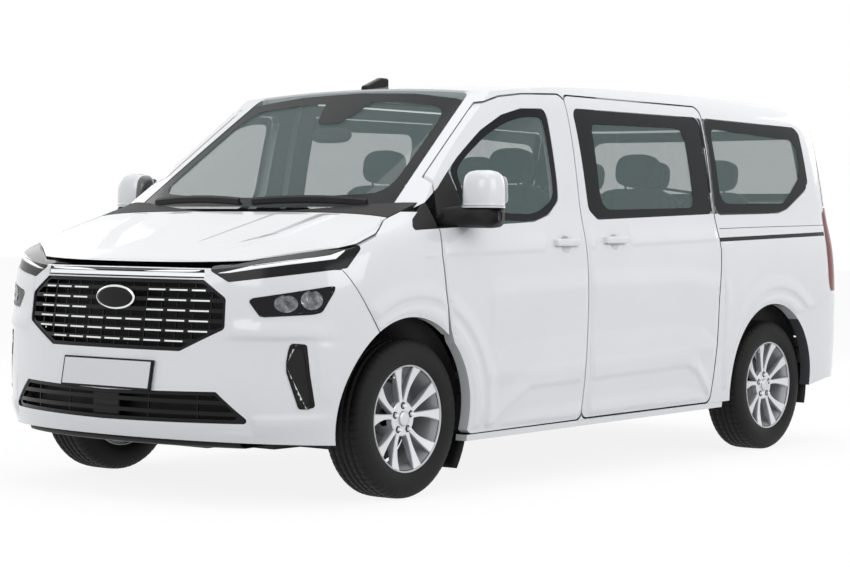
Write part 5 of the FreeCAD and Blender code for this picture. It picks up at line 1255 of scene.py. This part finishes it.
# Vents at the bumper's corners, in the corner view too
SLOT_OUTLINE = [(0.207, 0.684), (0.256, 0.682), (0.268, 0.620), (0.297, 0.432), (0.291, 0.415),
                (0.240, 0.414), (0.225, 0.460), (0.189, 0.566), (0.188, 0.606), (0.197, 0.660)]
SLOT_MIDDLE, SLOT_RIM_SHARE = Vector((0.243, 0.55)), 0.16
SLOT_INNER = [Vector(p).lerp(SLOT_MIDDLE, SLOT_RIM_SHARE) for p in SLOT_OUTLINE]
for name, side in SIDES:
    vent_on = tree_of("air_slots", "front_bumper"), corner_view, side
    ring(f"slot_rim_{name}", SLOT_OUTLINE, SLOT_INNER, vent_on, gloss_black, corner=(0.010, 0.008),
         lift=0.0035)
    patch(f"slot_bed_{name}", SLOT_OUTLINE, vent_on, matt_black, corner=0.010, lift=0.0015, rows=8)


# Door mirrors: a white cap over a black arm
CAP_MIDDLE, CAP_HALF, CAP_FOOT, CAP_TALL = (1.2115, 1.0760), (0.0750, 0.0915), 1.2620, 0.158
# Share of the cap's height, and of its width there
CAP_LEVELS = [(0.0, 0.97), (0.10, 1.0), (0.30, 1.0), (0.50, 0.985), (0.66, 0.95), (0.78, 0.89),
              (0.87, 0.80), (0.94, 0.66), (0.98, 0.48), (1.0, 0.25)]
ARM_START, ARM_LENGTH, ARM_LEVELS = 0.862, 0.3055, 13
# The arm's foot and what its swollen part adds: place along, height, half length and half height
ARM_FOOT, ARM_SWELL = (1.300, 1.2150, 0.040, 0.040), (-0.088, 0.004, 0.036, 0.012)
SWELL_FROM, SWELL_OVER, ROUND_FROM, ROUND_OVER = 0.90, 0.12, 1.125, 0.0435
REPEATER_MIDDLE, REPEATER_HALF, REPEATER_FOOT = (1.2125, 1.0760), (0.0765, 0.0925), 1.2555
# Places along and up, half sizes and levels of the mirror inside
INNER_PLACE, INNER_HALF, INNER_LEVELS = (0.985, 1.600), (0.016, 0.125, 0.036), 13
FOOT_END_Y = 0.9450
MIRROR_GLASS_MIDDLE = (1.1345, 1.0760, 1.335)
MIRROR_GLASS = [(-0.078, -0.062), (0.078, -0.062), (0.070, 0.062), (-0.070, 0.062)]


def superloop(half_a, half_b, power, count):
    """Points of a loop between an ellipse and a box."""
    points = []
    for step in range(count):
        turn = 2 * math.pi * step / count
        pair = (math.cos(turn), half_a), (math.sin(turn), half_b)
        points.append([math.copysign(abs(c) ** (2 / power), c) * half for c, half in pair])
    return points


def loft(name, stations, count, look, body="body", power=2.6, upright=False):
    """A closed skin through sections: centre and half sizes. They are level ones, or stand across."""
    points = []
    for centre, half_a, half_b in stations:
        for a, b in superloop(half_a, half_b, power, count):
            points.append(Vector(centre) + Vector((a, 0, b) if upright else (a, b, 0)))
    faces = grid_faces(len(stations), count, closed_columns=True)
    faces.append(tuple(range(count)))
    last = (len(stations) - 1) * count
    faces.append(tuple(last + i for i in reversed(range(count))))
    return piece_from(name, points, faces, look, body)


def sail_piece(name, side, body):
    """The mirror's foot on the door, cut from the CAD mirror short of its housing."""
    build = bmesh.new()
    build.from_mesh(nodes[f"mirror_{name}"].data)
    bmesh.ops.bisect_plane(build, geom=build.verts[:] + build.edges[:] + build.faces[:], dist=1e-5,
                           plane_co=(0, side * FOOT_END_Y, 0), plane_no=(0, side, 0), clear_outer=True)
    mesh = built_mesh(f"mirror_foot_{name}", build, matt_black)
    return link_new(f"mirror_foot_{name}", mesh, body)


def mirror_cap(name, side, body):
    x, y = CAP_MIDDLE
    stations = [((x, side * y, CAP_FOOT + CAP_TALL * t), CAP_HALF[0] * w, CAP_HALF[1] * w ** 0.8)
                for t, w in CAP_LEVELS]
    return loft(f"mirror_cap_{name}", stations, 64, white_paint, body, 3.0)


def mirror_arm(name, side, body):
    """The arm swells from its foot and rounds off at its outer end."""
    stations = []
    for step in range(ARM_LEVELS):
        y = ARM_START + ARM_LENGTH * step / (ARM_LEVELS - 1)
        swell = ease((y - SWELL_FROM) / SWELL_OVER)
        end = math.sqrt(max(0.04, 1 - max(0.0, (y - ROUND_FROM) / ROUND_OVER) ** 2))
        x, z, half_x, half_z = (foot + more * swell for foot, more in zip(ARM_FOOT, ARM_SWELL))
        stations.append(((x, side * y, z), half_x * end, half_z * (0.35 + 0.65 * end)))
    return loft(f"mirror_arm_{name}", stations, 48, matt_black, body, 2.8, upright=True)


def inner_mirror():
    """The mirror inside, under the camera cover."""
    stations = []
    (x, z), (half_x, half_y, half_z) = INNER_PLACE, INNER_HALF
    for step in range(INNER_LEVELS):
        t = 2 * step / (INNER_LEVELS - 1) - 1
        swell = math.sqrt(max(0.05, 1 - abs(t) ** 4))
        stations.append(((x, half_y * t, z), half_x * swell, half_z * swell))
    loft("inner_mirror", stations, 32, matt_black, upright=True)


for name, side in SIDES:
    door = f"door_{name[0]}"
    for piece in (mirror_cap(name, side, door), mirror_arm(name, side, door), sail_piece(name, side, door)):
        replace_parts(piece, f"mirror_{name}")
    x, y = REPEATER_MIDDLE
    lamp = [((x, side * y, REPEATER_FOOT + rise), *REPEATER_HALF) for rise in (0.0, 0.006, 0.012)]
    loft(f"mirror_repeater_{name}", lamp, 64, clear_trim, door, 3.0)
    x, y, z = MIRROR_GLASS_MIDDLE
    outline = [(x, side * (y + p.x), z + p.y) for p in rounded(MIRROR_GLASS, 0.03)]
    faces = [tuple(range(len(outline)))]
    solidify(piece_from(f"mirror_glass_{name}", outline, faces, chrome, door, smooth=False), 0.002, 0)
inner_mirror()


# Camera, light and floor
def look_from(place, yaw, pitch, roll, lens):
    """A camera placed by its heading, as the photograph was taken."""
    yaw, pitch, roll = (math.radians(a) for a in (yaw, pitch, roll))
    ahead = Vector((math.cos(yaw) * math.cos(pitch), math.sin(yaw) * math.cos(pitch), math.sin(pitch)))
    level = ahead.cross(Vector((0, 0, 1))).normalized()
    top = level.cross(ahead)
    right = level * math.cos(roll) + top * math.sin(roll)
    above = top * math.cos(roll) - level * math.sin(roll)
    camera = link_new("camera", bpy.data.cameras.new("camera"))
    camera.matrix_world = Matrix.Translation(place) @ Matrix((right, above, -ahead)).transposed().to_4x4()
    camera.data.lens = lens
    camera.data.sensor_width = 36
    camera.data.clip_end = 200
    bpy.context.scene.camera = camera


def softbox(name, place, target, size, power):
    lamp = bpy.data.lights.new(name, "AREA")
    lamp.shape, lamp.size, lamp.size_y = "RECTANGLE", size[0], size[1]
    lamp.energy = power
    made = link_new(name, lamp)
    made.location = place
    made.rotation_euler = (Vector(target) - Vector(place)).to_track_quat("-Z", "Y").to_euler()


def seen_straight(tree):
    """A node that gives 1 where the white room is seen, in a mirror or through glass too, and 0 where
    it lights things."""
    rays = add(tree, "ShaderNodeLightPath")
    first = add(tree, "ShaderNodeMath", operation="MAXIMUM")
    both = add(tree, "ShaderNodeMath", operation="MAXIMUM")
    wire(tree, (rays, "Is Camera Ray", first, 0), (rays, "Is Glossy Ray", first, 1), (first, 0, both, 0),
         (rays, "Is Transmission Ray", both, 1))
    return both


ROOM_STRENGTH = 0.66
# Share of the way from below to above, and how bright the room is there
ROOM_LEVELS = ((0.0, 0.50), (0.46, 0.40), (0.52, 0.62), (0.75, 0.95), (1.0, 1.0))
FLOOR_REACH, FLOOR_COLOUR, FLOOR_GLOW, FLOOR_GLOW_SHARE = 60, (0.55, 0.55, 0.56, 1), 1.18, 0.74


def studio_world():
    """White behind everything, and a soft grey room for the light."""
    world = bpy.data.worlds.new("studio")
    bpy.context.scene.world = world
    world.use_nodes = True
    tree = world.node_tree
    tree.nodes.clear()
    place = add(tree, "ShaderNodeTexCoord")
    split = add(tree, "ShaderNodeSeparateXYZ")
    ramp = add(tree, "ShaderNodeValToRGB")
    elements = ramp.color_ramp.elements
    while len(elements) < len(ROOM_LEVELS):
        elements.new(0.5)
    for element, (position, level) in zip(elements, ROOM_LEVELS):
        element.position, element.color = position, (level * 0.97, level * 0.985, level, 1)
    half = add(tree, "ShaderNodeMapRange")
    half.inputs["From Min"].default_value = -1
    light = add(tree, "ShaderNodeBackground", Strength=ROOM_STRENGTH)
    white = add(tree, "ShaderNodeBackground", Strength=1.0)
    white.inputs["Color"].default_value = (1, 1, 1, 1)
    mix = add(tree, "ShaderNodeMixShader")
    out = add(tree, "ShaderNodeOutputWorld")
    wire(tree, (place, "Generated", split, 0), (split, "Z", half, "Value"), (half, "Result", ramp, "Fac"),
         (ramp, "Color", light, "Color"), (seen_straight(tree), 0, mix, "Fac"), (light, 0, mix, 1),
         (white, 0, mix, 2), (mix, 0, out, "Surface"))


def studio_floor():
    """A pale floor that keeps the shadow and fades into the white room."""
    mesh = bpy.data.meshes.new("floor_plane")
    corners = [(x * FLOOR_REACH, y * FLOOR_REACH, 0) for x, y in ((-1, -1), (1, -1), (1, 1), (-1, 1))]
    mesh.from_pydata(corners, [], [(0, 1, 2, 3)])
    made = link_new("studio_floor", mesh)
    made.location.z = -0.0005
    material = bpy.data.materials.new("pale_floor")
    material.use_nodes = True
    tree = material.node_tree
    tree.nodes.clear()
    diffuse = add(tree, "ShaderNodeBsdfDiffuse")
    diffuse.inputs["Color"].default_value = FLOOR_COLOUR
    glow = add(tree, "ShaderNodeEmission", Strength=FLOOR_GLOW)
    both = add(tree, "ShaderNodeMixShader")
    share = add(tree, "ShaderNodeMath", operation="MULTIPLY")
    share.inputs[1].default_value = FLOOR_GLOW_SHARE
    out = add(tree, "ShaderNodeOutputMaterial")
    wire(tree, (seen_straight(tree), 0, share, 0), (share, 0, both, "Fac"), (diffuse, 0, both, 1),
         (glow, 0, both, 2), (both, 0, out, "Surface"))
    mesh.materials.append(material)


# The camera fitted to the photograph: its place, heading, pitch and roll in degrees, and lens
PHOTO_CAMERA = (9.045, 6.924, 1.145), -141.78, -1.31, 0.62, 94.53
look_from(*PHOTO_CAMERA)
studio_world()
studio_floor()
softbox("top_light", (0, 0, 6.5), (0, 0, 0), (9, 5), 95)
softbox("side_light", (0.5, 8.5, 4.0), (-0.4, 0, 0.8), (9, 3.5), 200)
softbox("far_side_light", (0, -8.5, 4.0), (0, 0, 0.8), (8, 3.5), 80)
softbox("tail_light", (-9.5, 0.5, 4.0), (-1.5, 0, 0.8), (5, 3), 90)
softbox("nose_light", (9.5, -1.0, 4.5), (1.5, 0, 0.8), (5, 3), 110)
bpy.context.scene.view_settings.view_transform = "Standard"
